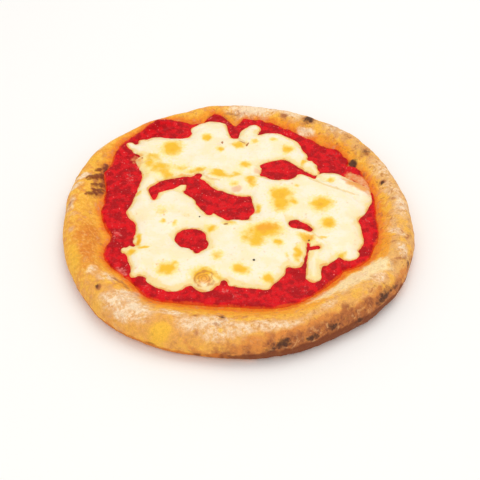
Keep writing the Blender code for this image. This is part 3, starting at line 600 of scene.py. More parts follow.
def sauce_inside(x, y):
    """Distance in from the sauce's edge, which is a little ragged."""
    angle = np.degrees(np.arctan2(y, x))
    return sauce_edge(angle) - np.hypot(x, y) + 0.6 * rough(x, y, 0, 3.2, 5)


def sauce_field(x, y):
    return -sauce_inside(x, y)


def sauce_level(x, y):
    """Top of the smooth sauce, before its pulp."""
    swell = smoothstep(0.5 + 0.5 * np.clip(sauce_inside(x, y), 0, None) / SAUCE_EDGE_WIDTH) * 2 - 1
    film = SAUCE_EDGE_THICKNESS + (SAUCE_THICKNESS - SAUCE_EDGE_THICKNESS) * np.clip(swell, 0, 1)
    return crust_top(x, y) + LAYER_GAP * smoothstep(swell * 3) + film


def pulp(x, y):
    """Pulp and seeds that stand up in the bare sauce."""
    free = smoothstep((bare_distance(x, y) + 0.6) / 1.2) * smoothstep(sauce_inside(x, y) / 2)
    lumps = 1 - np.abs(rough(x, y, 0, 4.2, 11)) * 2.2
    crumbs = 1 - np.abs(noise(x, y, 0, 1.5, 17)) * 2
    grain = noise(x, y, 0, 0.8, 23)
    return free * (SAUCE_RISE + 0.22 * lumps + 0.12 * crumbs + 0.05 * grain - 0.1)


def cheese_inside_thickness(x, y, inside):
    """Thickness at a distance in from the edge, with its waves, sunk spots and burst bubble."""
    rounding = np.clip(inside / CHEESE_ROUNDING, 0, 1)
    thickness = CHEESE_WALL + (CHEESE_THICKNESS - CHEESE_WALL) * (1 - (1 - rounding) ** 2)
    thickness = thickness + rounding * CHEESE_WAVE * ripple(x, y, CHEESE_WAVES)
    thickness = thickness + rounding * 0.12 * rough(x, y, 0, 5, 31, 2) - 0.3 * rounding * seam_depth(x, y)
    for across, along, wide, deep, depth in SUNK_SPOTS:
        reach = ((x - across) / wide) ** 2 + ((y - along) / deep) ** 2
        thickness = thickness - rounding * depth * np.exp(-reach ** SPOT_EDGE)
    across, along, radius, height, width = BURST_BUBBLE
    from_ring = np.hypot(x - across, y - along) - radius
    thickness = thickness + rounding * height * np.exp(-(from_ring / width) ** 2)
    inner_ring = np.hypot(x - across - 0.6, y - along + 0.2) - radius * 0.45
    return thickness + rounding * 0.35 * np.exp(-(inner_ring / 0.55) ** 2)


def cheese_seat(x, y, inside):
    """What the cheese's thickness stands on: the sauce at its edge, the CAD's gap above it further in."""
    return sauce_level(x, y) + LAYER_GAP * smoothstep(inside / CHEESE_ROUNDING)


def sheet_top(x, y, inside):
    return cheese_seat(x, y, inside) + cheese_inside_thickness(x, y, inside)


def slice_top(x, y, inside, lift):
    """Top of a separate slice, which lies over the sheet's edge with a low rounded lip."""
    rounding = np.clip(inside / CHEESE_ROUNDING, 0, 1)
    own = sheet_top(x, y, inside) + lift * smoothstep(rounding)
    below = -sheet_field(x, y)
    lip = SLICE_LAP * np.sqrt(1 - (1 - rounding) ** 2) - 0.05
    over = sheet_top(x, y, np.clip(below, 0, None)) + lip
    return np.where(below > 0, np.maximum(own, over), own)


def corner_top(x, y, inside):
    return slice_top(x, y, inside, CORNER_LIFT)


def small_top(x, y, inside):
    return slice_top(x, y, inside, SMALL_LIFT)


def outline_loops(field, inside, reach):
    """Closed loops along which the field is a distance inside: a net of the field's heights is cut level."""
    west, east, south, north = reach
    net = bmesh.new()
    columns = round((east - west) / OUTLINE_CELL)
    rows = round((north - south) / OUTLINE_CELL)
    bmesh.ops.create_grid(net, x_segments=columns, y_segments=rows, size=0.5)
    places = np.array([corner.co[:2] for corner in net.verts])
    x = west + (places[:, 0] + 0.5) * (east - west)
    y = south + (places[:, 1] + 0.5) * (north - south)
    for corner, across, along, height in zip(net.verts, x, y, field(x, y) + inside):
        corner.co = (across, along, height)
    bmesh.ops.triangulate(net, faces=net.faces)
    everything = net.verts[:] + net.edges[:] + net.faces[:]
    cut = bmesh.ops.bisect_plane(net, geom=everything, dist=1e-6, plane_co=(0, 0, 0), plane_no=(0, 0, 1))
    neighbours = {}
    for piece in cut["geom_cut"]:
        if isinstance(piece, bmesh.types.BMEdge):
            for corner in piece.verts:
                neighbours.setdefault(corner, []).append(piece.other_vert(corner))
    loops = []
    while neighbours:
        corner = next(iter(neighbours))
        loop = []
        while corner is not None:
            loop.append(corner.co[:2])
            onward = [other for other in neighbours.pop(corner) if other in neighbours]
            corner = onward[0] if onward else None
        loops.append(np.array(loop))
    net.free()
    return [loop for loop in loops if len(loop) > 5]


def quarter_turn(steps):
    """The ends of equal steps from 0 to a quarter turn."""
    return np.linspace(0, math.pi / 2, steps + 1)[1:]


def evenly_spaced(loop, spacing):
    """Points at equal steps along a closed loop."""
    closed = np.vstack([loop, loop[:1]])
    walked = np.concatenate([[0], np.cumsum(np.hypot(*np.diff(closed, axis=0).T))])
    count = max(6, round(walked[-1] / spacing))
    steps = np.arange(count) * walked[-1] / count
    return np.stack([np.interp(steps, walked, closed[:, 0]), np.interp(steps, walked, closed[:, 1])], axis=1)


def inside_points(field, margin, spacing, reach):
    """A staggered net of points well inside the outline."""
    west, east, south, north = reach
    row_height = spacing * math.sqrt(3) / 2
    x, y = np.meshgrid(np.arange(west, east, spacing), np.arange(south, north, row_height))
    x = x + (np.arange(len(x)) % 2)[:, None] * spacing / 2
    x, y = x.ravel(), y.ravel()
    keep = field(x, y) < -margin
    return np.stack([x[keep], y[keep]], axis=1)


def within(outline, x, y):
    """True for the points from which a line eastward crosses the outline's loops an odd number of times."""
    odd = np.zeros(len(x), dtype=bool)
    order = np.argsort(y)
    ranked = y[order]
    for loop in outline:
        for (x0, y0), (x1, y1) in zip(loop, np.roll(loop, -1, axis=0)):
            first, last = np.searchsorted(ranked, sorted((y0, y1)))
            level = order[first:last]
            odd[level] ^= x[level] < x0 + (y[level] - y0) * (x1 - x0) / (y1 - y0) if y0 != y1 else False
    return odd


def triangulated(outline, extra):
    """Triangles that fill the outline's loops, holes left open, through the extra points as well."""
    points = [Vector(place) for loop in outline for place in loop] + [Vector(place) for place in extra]
    edges = []
    start = 0
    for loop in outline:
        edges += [(start + i, start + (i + 1) % len(loop)) for i in range(len(loop))]
        start += len(loop)
    places, _, triangles, _, _, _ = geometry.delaunay_2d_cdt(points, edges, [], 0, 1e-6)
    flat = np.array([place[:] for place in places])
    corners = np.array(triangles)
    return corners[within(outline, *flat[corners].mean(axis=1).T)], edges, flat


def add_object(name, data):
    item = bpy.data.objects.new(name, data)
    bpy.context.scene.collection.objects.link(item)
    return item


def mesh_object(name, places, faces, material):
    """A smooth object from points in millimetres."""
    mesh = bpy.data.meshes.new(name)
    mesh.from_pydata(np.asarray(places) * MM, [], faces)
    mesh.update()
    solid = bmesh.new()
    solid.from_mesh(mesh)
    bmesh.ops.recalc_face_normals(solid, faces=solid.faces)
    solid.to_mesh(mesh)
    solid.free()
    mesh.materials.append(material)
    mesh.shade_smooth()
    return add_object(name, mesh)


def set_marks(piece, marks):
    """Stores each mark's numbers, one for each of the piece's points, for its material to read."""
    for name, values in marks.items():
        layer = piece.data.attributes.new(name, "FLOAT", "POINT")
        layer.data.foreach_set("value", np.ascontiguousarray(values, dtype=np.float32))


def slab(name, field, top, base, reach, material):
    """A closed layer over the field's outline, with close rings along its rounded edge.

    Returns the piece with arrays of its points' x, y and distance in from the edge, the top's points last.
    """
    outline = [evenly_spaced(loop, OUTLINE_SPACING) for loop in outline_loops(field, 0, reach)]
    rings = []
    for inside in EDGE_RINGS:
        for loop in outline_loops(field, inside, reach):
            rings.append(evenly_spaced(loop, OUTLINE_SPACING))
    inner = inside_points(field, EDGE_RINGS[-1] + INSIDE_SPACING / 2, INSIDE_SPACING, reach)
    top_faces, edges, top_points = triangulated(outline, np.vstack([*rings, inner]))
    base_inner = inside_points(field, BASE_SPACING / 2, BASE_SPACING, reach)
    base_faces, _, base_points = triangulated(outline, base_inner)
    edge_count = sum(len(loop) for loop in outline)
    x, y = top_points.T
    inside = np.where(np.arange(len(x)) < edge_count, 0, np.clip(-field(x, y), 0, None))
    top_height = top(x, y, inside)
    base_height = base(*base_points.T)
    first_top = len(base_points)
    faces = (top_faces + first_top).tolist() + base_faces[:, ::-1].tolist()
    faces += [(a, b, b + first_top, a + first_top) for a, b in edges]
    base_places = np.column_stack([base_points, base_height])
    places = np.vstack([base_places, np.column_stack([top_points, top_height])])
    piece = mesh_object(name, places, faces, material)
    return piece, places[:, 0], places[:, 1], np.concatenate([np.zeros(first_top), inside])


def crust_points():
    """Arrays of x, y, z and angle over the crust's rings, from the middle of its top to that of its base."""
    angle = np.arange(CRUST_SECTIONS) * 360 / CRUST_SECTIONS
    outer = outer_edge(angle)
    inner = well_edge(angle)
    level = np.zeros_like(angle)
    rings = [(inner * share, level + WELL_FLOOR) for share in WELL_RINGS]
    outward = CREST_AT + (1 - CREST_AT) * np.sin(quarter_turn(OUTER_RINGS))
    for share in (*np.linspace(0, CREST_AT, INNER_RINGS), *outward):
        radius = inner + share * (outer - inner)
        rings.append((radius, rim_height(angle, radius, rim_top(level + share))))
    for turn in quarter_turn(BULGE_RINGS):
        radius = outer - FOOT_INSET * (1 - math.cos(turn))
        rings.append((radius, level + BULGE_HEIGHT * (1 - math.sin(turn))))
    for share in np.linspace(1, 0.03, BASE_RINGS + 1)[1:]:
        rings.append(((outer - FOOT_INSET) * share, level))
    radius, height = np.stack(rings, axis=1)
    return (*place_at(angle, radius), height, np.broadcast_to(angle, radius.shape))


def grid_normals(x, y, z):
    """Outward unit normals of a ringed net of points."""
    places = np.stack([x, y, z], axis=-1)
    round_it = np.roll(places, -1, axis=1) - np.roll(places, 1, axis=1)
    down_it = np.gradient(places, axis=0)
    normal = np.cross(down_it, round_it)
    return normal / np.linalg.norm(normal, axis=-1, keepdims=True)


def crust_marks(x, y, z, angle, outward):
    """The crust's marks of baking, and a dark foot band low on the front wall that is partly painted shade,
    each from 0 to 1. outward goes from 0 at the well to 1 at the edge.
    """
    bent_x, bent_y = bent(x, y, z, 5, 1.5, 41, 47)
    outer_wall = smoothstep((outward - OUTER_WALL_FROM) / 0.2)
    under = smoothstep((0.4 - z) / 0.4)
    top = 1 - under
    low = smoothstep((7.5 - z) / 5) * outer_wall
    on_top = 1 - 0.85 * smoothstep((9.5 - z) / 4) * outer_wall
    # The dark band low on the front of the outer wall is partly browning and partly painted shade, where
    # that wall faces away from the key light and meets the floor
    foot_line = 6.8 + swells(angle, [(304, 3.0, 32)]) + 1.3 * rough(x, y, z, 5, 63)
    foot_browning_and_shade = smoothstep((foot_line - z) / 2.6) * outer_wall * facing(angle, FRONT, 1.2, 0.6)
    side_line = 0.98 - swells(angle, [(300, 0.29, 36)]) + 0.12 * rough(x, y, z, 6, 57)
    baked_side = smoothstep((outward - side_line) / 0.16)
    brown_line = 1.01 - swells(angle, [(302, 0.33, 31)]) + 0.16 * rough(x, y, z, 5, 69)
    brown_side = smoothstep((outward - brown_line) / 0.22)
    pale_front = facing(angle, PALE_WAY, 2.6, -1.2) * smoothstep((outward - 0.45) / 0.2) * (1 - 0.8 * low)
    tan = facing(angle, TAN_WAY, 0.9, 0.2) * smoothstep((outward - 0.3) / 0.3)
    flour = patches(bent_x, bent_y, FLOUR_PATCHES) * (1 - 0.7 * low)
    beyond = np.hypot(x, y) - sauce_edge(angle)
    oily = facing(angle, OILY_WAY, 1.4, -0.2)
    band = 5.5 + 5.5 * oily + 1.6 * rough(x, y, z, 9, 53)
    near_band = 4.6 + 1.8 * oily
    ridge = nearest_stroke(bent_x, bent_y, [CREAM_RIDGE]) + 1.8 * rough(x, y, z, 4, 75)
    ridge = (1 - smoothstep(ridge / 7.5)) * smoothstep((beyond - 1) / 4)
    oil = smoothstep((band - beyond) / 4) * top * (1 - 0.6 * flour) * (1 - 0.6 * ridge)
    low_behind = low * (1 - facing(angle, BROWNED_WAY, 1.6, 0))
    toasted = patches(bent_x, bent_y, TOASTED_PATCHES) * on_top
    toasted = 1 - (1 - toasted) * (1 - 0.8 * brown_side) * (1 - 0.3 * low_behind) * (1 - 0.12 * under)
    charred = patches(*bent(x, y, z, 2, 0.7, 59, 61), CHARRED_PATCHES, 1.8) * on_top
    around = angle + 1.2 * rough(x, y, z, 2.4, 65)
    upward = z + rough(x, y, z, 2, 67)
    scorched = patches(around, upward, CHARRED_SIDE) * smoothstep((outward - 0.78) / 0.1)
    folds = nearest_stroke(bent_x, bent_y, BURNT_FOLDS) + 0.6 * rough(x, y, z, 1.5, 77)
    deep = 1 - (1 - patches(bent_x, bent_y, DEEP_PATCHES)) * (1 - 0.75 * low_behind)
    return {
        "oil": oil, "near_sauce": smoothstep((near_band - beyond) / 5) * top, "flour": flour, "deep": deep,
        "toasted": toasted, "charred": np.maximum(charred, scorched) * top, "tan": tan,
        "smooth": facing(angle, SMOOTH_WAY, 0.9, 0.35) * (1 - low), "under": under,
        "side": baked_side * top, "bright": patches(bent_x, bent_y, BRIGHT_PATCHES, 1.6) * top,
        "foot_browning_and_shade": foot_browning_and_shade * top, "pale_front": pale_front, "ridge": ridge * top,
        "fold": (1 - smoothstep(folds / 1.9)) * top,
    }


def crust_relief(x, y, z, marks):
    """Fine relief along the normals: lumps, crumb, blisters, pits, wrinkles and burnt ridges."""
    coarse = 1 - 0.65 * marks["smooth"]
    relief = coarse * (0.28 * rough(x, y, z, 6, 71) + 0.16 * rough(x, y, z, 2.2, 73))
    relief += 0.10 * marks["flour"] * noise(x, y, z, 1.2, 79)
    creases = np.exp(-(noise(x, y, z, 5.5, 83) / 0.13) ** 2)
    relief -= 0.25 * creases * smoothstep(marks["tan"] + marks["toasted"] - 0.3)
    relief += 0.35 * smoothstep(marks["charred"] * 1.4) + 0.12 * marks["charred"] * noise(x, y, z, 0.9, 89)
    relief -= round_spots(x, y, PITS, 1)
    for fold in BURNT_FOLDS:
        relief += FOLD_HEIGHT * np.exp(-np.clip(stroke_distance(x, y, fold) + 0.4, 0, None) ** 2)
    return relief


def make_crust(material):
    x, y, z, angle = crust_points()
    inner = well_edge(angle)
    outward = np.clip((np.hypot(x, y) - inner) / (outer_edge(angle) - inner), 0, 1)
    marks = crust_marks(x, y, z, angle, outward)
    rise = smoothstep((np.hypot(x, y) - sauce_edge(angle) + 0.5) / 2.5)
    relief = crust_relief(x, y, z, marks) * np.where(z < 0.01, 1, np.maximum(rise, 0))
    places = np.stack([x, y, z], axis=-1) + grid_normals(x, y, z) * relief[..., None]
    places[..., 2] = np.where(z < 0.01, 0.15 * np.abs(rough(x, y, z, 4, 97)), np.maximum(places[..., 2], 0))
    rings, sections = x.shape
    number = np.arange(rings * sections).reshape(rings, sections)
    after = np.roll(number, -1, axis=1)
    faces = np.stack([number[:-1], number[1:], after[1:], after[:-1]], axis=-1).reshape(-1, 4).tolist()
    top_middle, base_middle = rings * sections, rings * sections + 1
    faces += [(top_middle, number[0, i], after[0, i]) for i in range(sections)]
    faces += [(base_middle, after[-1, i], number[-1, i]) for i in range(sections)]
    points = np.vstack([places.reshape(-1, 3), [(0, 0, WELL_FLOOR), (0, 0, 0.05)]])
    piece = mesh_object("baked_crust", points, faces, material)
    middles = {name: [0, values[-1].mean()] for name, values in marks.items()}
    set_marks(piece, {name: np.append(values.ravel(), middles[name]) for name, values in marks.items()})
    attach(piece, "root")
    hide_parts("crust")


def make_sauce(material):
    def top(x, y, inside):
        return sauce_level(x, y) - 0.3 * (1 - smoothstep(inside / 1.2)) + pulp(x, y)

    def base(x, y):
        return crust_top(x, y) + SEAT

    piece, x, y, inside = slab("tomato_sauce", sauce_field, top, base, (-78, 80, -72, 90), material)
    bare = smoothstep((bare_distance(x, y) + 0.5) / 1.5)
    shifted = bent(x, y, 0, 3, 1, 101, 103)
    set_marks(piece, {
        "thin": 1 - smoothstep((inside + 0.7 * rough(x, y, 0, 4, 107)) / 2.2),
        "pale": patches(*shifted, PALE_SAUCE), "film": patches(*shifted, CHEESE_FILM, 1.6),
        # This mark is where the sauce's painted glints go, over its bare lumps
        "lumps": bare * (0.5 + 0.5 * rough(x, y, 0, 2.4, 109)),
    })
    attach(piece, "root")
    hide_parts("sauce")


def make_cheese(name, node, field, top, reach, material):
    def base(x, y):
        return sauce_level(x, y) + SEAT

    piece, x, y, inside = slab(name, field, top, base, reach, material)
    own_edge = 1 if field is sheet_field else 0.2 + 0.8 * smoothstep(sheet_field(x, y) + 0.5)
    shifted = bent(x, y, 0, 3.2, 0.9, 113, 127)
    set_marks(piece, {
        "gold": patches(*shifted, GOLD_SPOTS, 1.15), "amber": patches(*shifted, AMBER_SPOTS, 1.2),
        "thin": (1 - smoothstep((inside - 0.6 + 3 * rough(x, y, 0, 8, 137)) / 3.4)) * own_edge,
        "pink": patches(*shifted, PINK_PATCHES, 1.2), "speck": patches(*shifted, BROWN_SPECKS, 1.4),
        # The seams carry a painted shade line
        "seam_shade": seam_depth(x, y), "rings": burst_rings(x, y),
        "edge": (1 - smoothstep((inside - 0.2 + 0.7 * rough(x, y, 0, 6, 131)) / 1.3)) * own_edge,
    })
    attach(piece, "root")
    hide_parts(node)


def make_pepper(material):
    """Coarse grains pressed a little into the cheese."""
    draws = np.random.default_rng(5)
    for number, (across, along, radius) in enumerate(PEPPER):
        solid = bmesh.new()
        bmesh.ops.create_icosphere(solid, subdivisions=3, radius=radius)
        round_places = np.array([corner.co[:] for corner in solid.verts])
        faces = [[corner.index for corner in face.verts] for face in solid.faces]
        solid.free()
        stretch = draws.uniform(0.8, 1.25, 3)
        x, y = np.array([across]), np.array([along])
        height = sheet_top(x, y, -sheet_field(x, y))[0] + radius * 0.35
        lump = 1 + 0.22 * noise(*(round_places * 3.1 / radius).T, 1.5, number)
        places = round_places * stretch * lump[:, None] + (across, along, height)
        piece = mesh_object(f"pepper_grain_{number + 1}", places, faces, material)
        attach(piece, "root")


def linear(color):
    """A colour of 0 to 255 as linear light."""
    shares = [value / 255 for value in color]
    return [s / 12.92 if s <= 0.04045 else ((s + 0.055) / 1.055) ** 2.4 for s in shares]


class Nodes:
    """Adds nodes to a material's tree and joins them, so that a shader reads as a list of steps."""

    def __init__(self, name):
        self.material = bpy.data.materials.new(name)
        self.material.use_nodes = True
        self.tree = self.material.node_tree
        self.shader = self.tree.nodes["Principled BSDF"]
        self.place = self.tree.nodes.new("ShaderNodeTexCoord").outputs["Object"]

    def put(self, socket, value):
        """Gives a socket a number, a colour of 0 to 255, a mark by its name, or another node's output."""
        if isinstance(value, str):
            node = self.add("ShaderNodeAttribute")
            node.attribute_name = value
            value = node.outputs["Fac"]
        if isinstance(value, bpy.types.NodeSocket):
            self.tree.links.new(value, socket)
        else:
            socket.default_value = (*linear(value), 1) if isinstance(value, tuple) else value

    def give(self, node, values):
        """Fills a node's sockets, with _ for a space in their names."""
        for name, value in values.items():
            self.put(node.inputs[name.replace("_", " ")], value)

    def set(self, **values):
        self.give(self.shader, values)

    def add(self, kind, **values):
        node = self.tree.nodes.new(kind)
        self.give(node, values)
        return node

    def noise(self, size, detail=3.0, roughness=0.55, distortion=0.0):
        """Noise from 0 to 1 with lumps of a size in millimetres."""
        node = self.add("ShaderNodeTexNoise", Vector=self.place, Scale=1 / (size * MM))
        self.give(node, {"Detail": detail, "Roughness": roughness, "Distortion": distortion})
        return node.outputs["Fac"]

    def cells(self, size):
        node = self.add("ShaderNodeTexVoronoi", Vector=self.place, Scale=1 / (size * MM))
        return node.outputs["Distance"]

    def math(self, operation, a, b=0.0):
        node = self.add("ShaderNodeMath")
        node.operation = operation
        self.put(node.inputs[0], a)
        self.put(node.inputs[1], b)
        return node.outputs[0]

    def times(self, a, b):
        return self.math("MULTIPLY", a, b)

    def fade(self, value, low, high, start=0.0, end=1.0):
        """start where the value is low, end where it is high, and a smooth change between."""
        node = self.add("ShaderNodeMapRange", Value=value, From_Min=low, From_Max=high)
        self.give(node, {"To Min": start, "To Max": end})
        node.interpolation_type = "SMOOTHSTEP"
        return node.outputs["Result"]

    def broken(self, mark, noise, amount, low, high, most=1.0):
        """A mark whose border is broken up by noise."""
        shift = self.times(self.math("SUBTRACT", noise, 0.5), amount)
        return self.fade(self.math("ADD", mark, shift), low, high, 0, most)

    def mix(self, share, a, b):
        node = self.add("ShaderNodeMix")
        node.data_type = "RGBA"
        self.put(node.inputs[0], share)
        self.put(node.inputs[6], a)
        self.put(node.inputs[7], b)
        return node.outputs[2]

    def cover(self, share, paint):
        """Lays a paint over the colour so far."""
        self.color = self.mix(share, self.color, paint)

    def stain(self, *rows):
        """Lays paints over the colour where marks are: rows of what broken takes, and the paint."""
        for mark, noise, amount, low, high, most, paint in rows:
            self.cover(self.broken(mark, noise, amount, low, high, most), paint)

    def bumps(self, *rows):
        """Bumps laid on one another: rows of a height from 0 to 1, its depth in millimetres, a strength."""
        normal = None
        for height, depth, strength in rows:
            node = self.add("ShaderNodeBump", Height=height, Distance=depth * MM, Strength=strength)
            if normal is not None:
                self.put(node.inputs["Normal"], normal)
            normal = node.outputs["Normal"]
        self.set(Normal=normal)

    def soften(self, weight, scale, reach):
        """Lets light spread under the surface, with a reach for red, green and blue."""
        self.set(Subsurface_Weight=weight, Subsurface_Scale=scale)
        self.shader.inputs["Subsurface Radius"].default_value = reach


def crust_material():
    n = Nodes("baked_crust")
    broad = n.noise(7, 4)
    blotch = n.noise(3.6, 4, 0.58)
    fine = n.noise(1.6, 3, 0.6)
    grain = n.noise(0.6, 2, 0.5)
    crease = n.noise(4.2, 3, 0.5, 1.5)
    rust = n.noise(2.8, 4, 0.6, 0.8)
    n.color = n.mix(n.fade(blotch, 0.4, 0.66, 0, 0.7), GOLDEN, DEEP_GOLD)
    n.stain(("deep", broad, 1.4, 0.1, 1.05, 0.9, DEEP_GOLD))
    n.cover(n.fade(fine, 0.48, 0.72, 0, 0.45), PALE_GOLD)
    n.stain(("tan", blotch, 2.2, 0.1, 1.0, 0.8, TAN))
    n.cover(n.times(n.fade(n.noise(5.5, 3, 0.6), 0.48, 0.6), n.fade("tan", 0.1, 0.8, 0, 0.75)), GOLDEN)
    # Thin dark lines over the tan part of the rim are painted shade in creases
    line = n.fade(n.math("ABSOLUTE", n.math("SUBTRACT", crease, 0.5)), 0.0, 0.05, 1, 0)
    line = n.times(line, n.fade(blotch, 0.4, 0.6))
    n.cover(n.times(line, n.fade("tan", 0.3, 0.9, 0, 0.5)), CREASE_SHADE)
    n.stain(
        ("pale_front", blotch, 2.4, 0.1, 1.1, 0.9, PALE_FRONT),
        ("side", blotch, 1.6, 0.1, 1.0, 0.9, SIDE_ORANGE),
        ("oil", blotch, 1.6, 0.1, 0.95, 0.85, OILED),
        ("near_sauce", blotch, 2.2, 0.15, 1.1, 0.85, OILED_EDGE),
        ("ridge", blotch, 1.8, 0.1, 1.0, 0.9, RIDGE_CREAM),
        ("flour", blotch, 1.9, 0.05, 0.95, 0.85, FLOUR_TAN),
    )
    smear = n.fade(n.math("ADD", rust, n.times(fine, 0.6)), 0.6, 1.02)
    dusting = n.times(smear, n.fade("flour", 0.1, 0.8, 0, 0.95))
    n.cover(n.math("MAXIMUM", dusting, n.broken("flour", blotch, 0.6, 0.7, 1.05, 0.85)), FLOURED)
    n.stain(("bright", blotch, 1.4, 0.2, 1.0, 0.8, BRIGHT_GOLD))
    fleck = n.times(n.fade(rust, 0.3, 0.44, 1, 0), n.fade("smooth", 0.2, 0.8, 0.6, 0.25))
    n.cover(n.times(fleck, n.fade("ridge", 0, 0.8, 1, 0.4)), TOASTED)
    n.stain(("toasted", blotch, 1.8, 0.1, 1.0, 0.85, TOASTED))
    n.cover(n.times(n.fade(fine, 0.42, 0.68), n.fade("toasted", 0.3, 0.9, 0, 0.8)), DARK_TOAST)
    n.cover(n.times(n.fade(rust, 0.53, 0.66), n.fade("toasted", 0.4, 0.9, 0, 0.5)), FLOUR_TAN)
    # The foot band's colour: browning with painted shade, low on the front wall
    foot_browning_and_shade = n.mix(n.broken("side", blotch, 0.6, 0.3, 0.9), FOOT_ORANGE, FOOT_BROWN)
    n.stain(
        ("foot_browning_and_shade", blotch, 1.2, 0.15, 0.95, 0.85, foot_browning_and_shade),
        ("fold", fine, 1.6, 0.2, 1.0, 0.85, FOLD_BROWN),
        ("charred", fine, 1.2, 0.2, 0.95, 0.9, CHARRED),
        ("under", broad, 0.4, 0.3, 0.8, 0.6, TAN),
    )
    mottle = n.math("ADD", n.times(grain, 0.5), n.times(fine, 0.5))
    mottled = n.add("ShaderNodeHueSaturation", Color=n.color, Value=n.fade(mottle, 0.36, 0.64, 0.9, 1.08))
    n.set(Base_Color=mottled.outputs["Color"], Roughness=n.fade("oil", 0.1, 0.9, 0.72, 0.42))
    n.set(Specular_IOR_Level=0.2)
    n.soften(0.06, 0.002, (1.0, 0.5, 0.2))
    n.bumps((n.noise(3.4, 2, 0.5), 0.8, 0.7), (n.noise(1.5, 2, 0.5), 0.16, 0.7), (grain, 0.05, 0.6))
    return n.material


def sauce_material():
    n = Nodes("tomato_sauce")
    fine = n.noise(1.2, 4, 0.6)
    grain = n.noise(0.45, 2)
    n.color = n.mix(n.fade(n.noise(3.6, 3, 0.5), 0.38, 0.62), DARK_RED, RED)
    n.cover(n.fade(fine, 0.5, 0.75, 0, 0.5), DARK_RED)
    # Pale red flecks on the bare sauce's lumps are painted glints: sparkles of light on the wet sauce,
    # painted into its colour
    painted_glint = n.fade(n.math("ADD", n.cells(1.7), n.times(n.noise(2.4, 2), 0.5)), 0.3, 0.42, 1, 0)
    n.cover(n.times(painted_glint, n.fade("lumps", 0.2, 0.6, 0, 0.75)), PALE_RED)
    n.stain(
        ("pale", fine, 1.6, 0.4, 1.0, 0.75, PALE_RED),
        ("thin", fine, 0.9, 0.45, 1.15, 0.9, ORANGE_RED),
        ("film", fine, 1.2, 0.2, 0.9, 0.9, FILM_ORANGE),
        ("film", n.noise(2.4, 3), 1.8, 0.7, 1.2, 0.6, PINK),
    )
    n.set(Base_Color=n.color, Roughness=n.fade(grain, 0.3, 0.7, 0.16, 0.36), Specular_IOR_Level=0.1)
    n.soften(0.04, 0.0015, (1.0, 0.15, 0.1))
    n.bumps((fine, 0.3, 0.5), (n.cells(2.1), 0.25, 0.4), (grain, 0.08, 0.4))
    return n.material


def cheese_material():
    n = Nodes("melted_mozzarella")
    broad = n.noise(9, 3)
    blotch = n.noise(3.0, 4, 0.55)
    fine = n.noise(1.4, 4, 0.55)
    n.color = n.mix(n.fade(broad, 0.4, 0.62, 0, 0.4), CREAM, THIN_CREAM)
    n.stain(
        ("thin", blotch, 1.6, 0.25, 0.9, 0.9, THIN_CREAM),
        ("pink", blotch, 0.9, 0.3, 0.8, 0.85, PINK),
        ("gold", fine, 0.9, 0.0, 0.35, 0.9, GOLD_HALO),
        ("gold", blotch, 1.0, 0.15, 0.75, 0.95, GOLD),
        ("amber", blotch, 1.3, 0.15, 0.95, 0.75, AMBER),
        ("edge", blotch, 2.0, 0.3, 1.1, 0.85, CHEESE_EDGE),
        # A painted shade line along the seams where slices ran together
        ("seam_shade", blotch, 1.6, 0.2, 1.0, 0.75, SEAM_SHADE),
        ("rings", blotch, 2.0, 0.2, 1.1, 0.65, RING_BROWN),
        ("speck", fine, 0.5, 0.3, 0.7, 1.0, SPECK_BROWN),
    )
    n.set(Base_Color=n.color, Roughness=n.fade(blotch, 0.3, 0.7, 0.34, 0.5), Specular_IOR_Level=0.28)
    n.set(Coat_Weight=0.05, Coat_Roughness=0.25)
    n.soften(0.3, 0.0016, (1.0, 0.75, 0.5))
    n.bumps((blotch, 0.3, 0.4), (fine, 0.1, 0.4))
    return n.material


def pepper_material():
    n = Nodes("black_pepper")
    n.color = n.mix(n.fade(n.noise(0.4, 3), 0.35, 0.65), PEPPER_BLACK, PEPPER_GREY)
    n.set(Base_Color=n.color, Roughness=n.fade(n.noise(0.3, 2), 0.3, 0.7, 0.5, 0.8))
    n.bumps((n.noise(0.25, 3), 0.15, 0.8))
    return n.material


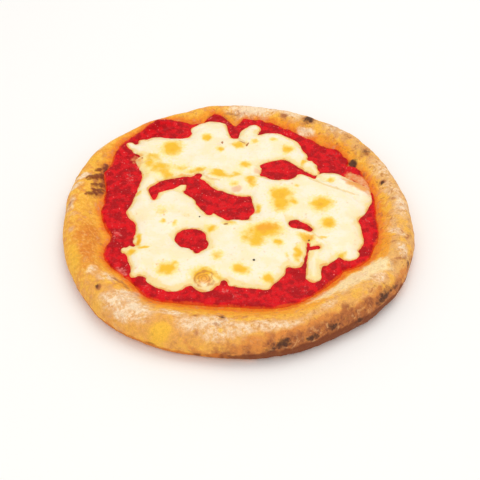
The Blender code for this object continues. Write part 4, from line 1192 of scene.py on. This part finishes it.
def floor_material():
    n = Nodes("pale_floor")
    n.set(Base_Color=FLOOR_WHITE, Roughness=0.9, Specular_IOR_Level=0.1)
    return n.material


def make_floor():
    mesh = bpy.data.meshes.new("floor")
    corners = [(FLOOR_HALF * x, FLOOR_HALF * y, 0) for x, y in ((-1, -1), (1, -1), (1, 1), (-1, 1))]
    mesh.from_pydata(corners, [], [(0, 1, 2, 3)])
    mesh.materials.append(floor_material())
    floor = add_object("floor", mesh)


def make_light():
    """Two large soft lights, above and in front, in an even pale surround."""
    world = bpy.data.worlds.new("surround")
    world.use_nodes = True
    background = world.node_tree.nodes["Background"]
    background.inputs["Color"].default_value = SURROUND_COLOR
    background.inputs["Strength"].default_value = SURROUND_STRENGTH
    bpy.context.scene.world = world
    for name, place, size, power, color in LIGHTS:
        data = bpy.data.lights.new(name, "AREA")
        data.shape = "DISK"
        data.size = size
        data.energy = power
        data.color = color
        light = add_object(name, data)
        light.location = place
        light.rotation_euler = (-Vector(place)).to_track_quat("-Z", "Y").to_euler()


def make_camera():
    data = bpy.data.cameras.new("photo_view")
    data.lens = CAMERA_LENS
    data.sensor_width = SENSOR_WIDTH
    camera = add_object("photo_view", data)
    tilt = math.radians(CAMERA_ELEVATION)
    back = Vector((0, -math.cos(tilt), math.sin(tilt)))
    camera.location = Vector(CAMERA_TARGET) + back * CAMERA_DISTANCE
    camera.rotation_euler = (-back).to_track_quat("-Z", "Y").to_euler()
    bpy.context.scene.camera = camera


def main():
    make_camera()
    make_crust(crust_material())
    make_sauce(sauce_material())
    cheese = cheese_material()
    make_cheese("mozzarella", "mozzarella_sheet", sheet_field, sheet_top, (-68, 76, -60, 84), cheese)
    make_cheese("corner_slice", "mozzarella_corner_slice", corner_field, corner_top, (36, 76, 2, 40), cheese)
    make_cheese("small_slice", "mozzarella_small_slice", small_field, small_top, (-6, 20, 50, 82), cheese)
    make_pepper(pepper_material())
    make_floor()
    make_light()
    settings = bpy.context.scene.view_settings
    settings.view_transform = "Standard"
    settings.look = "None"


main()
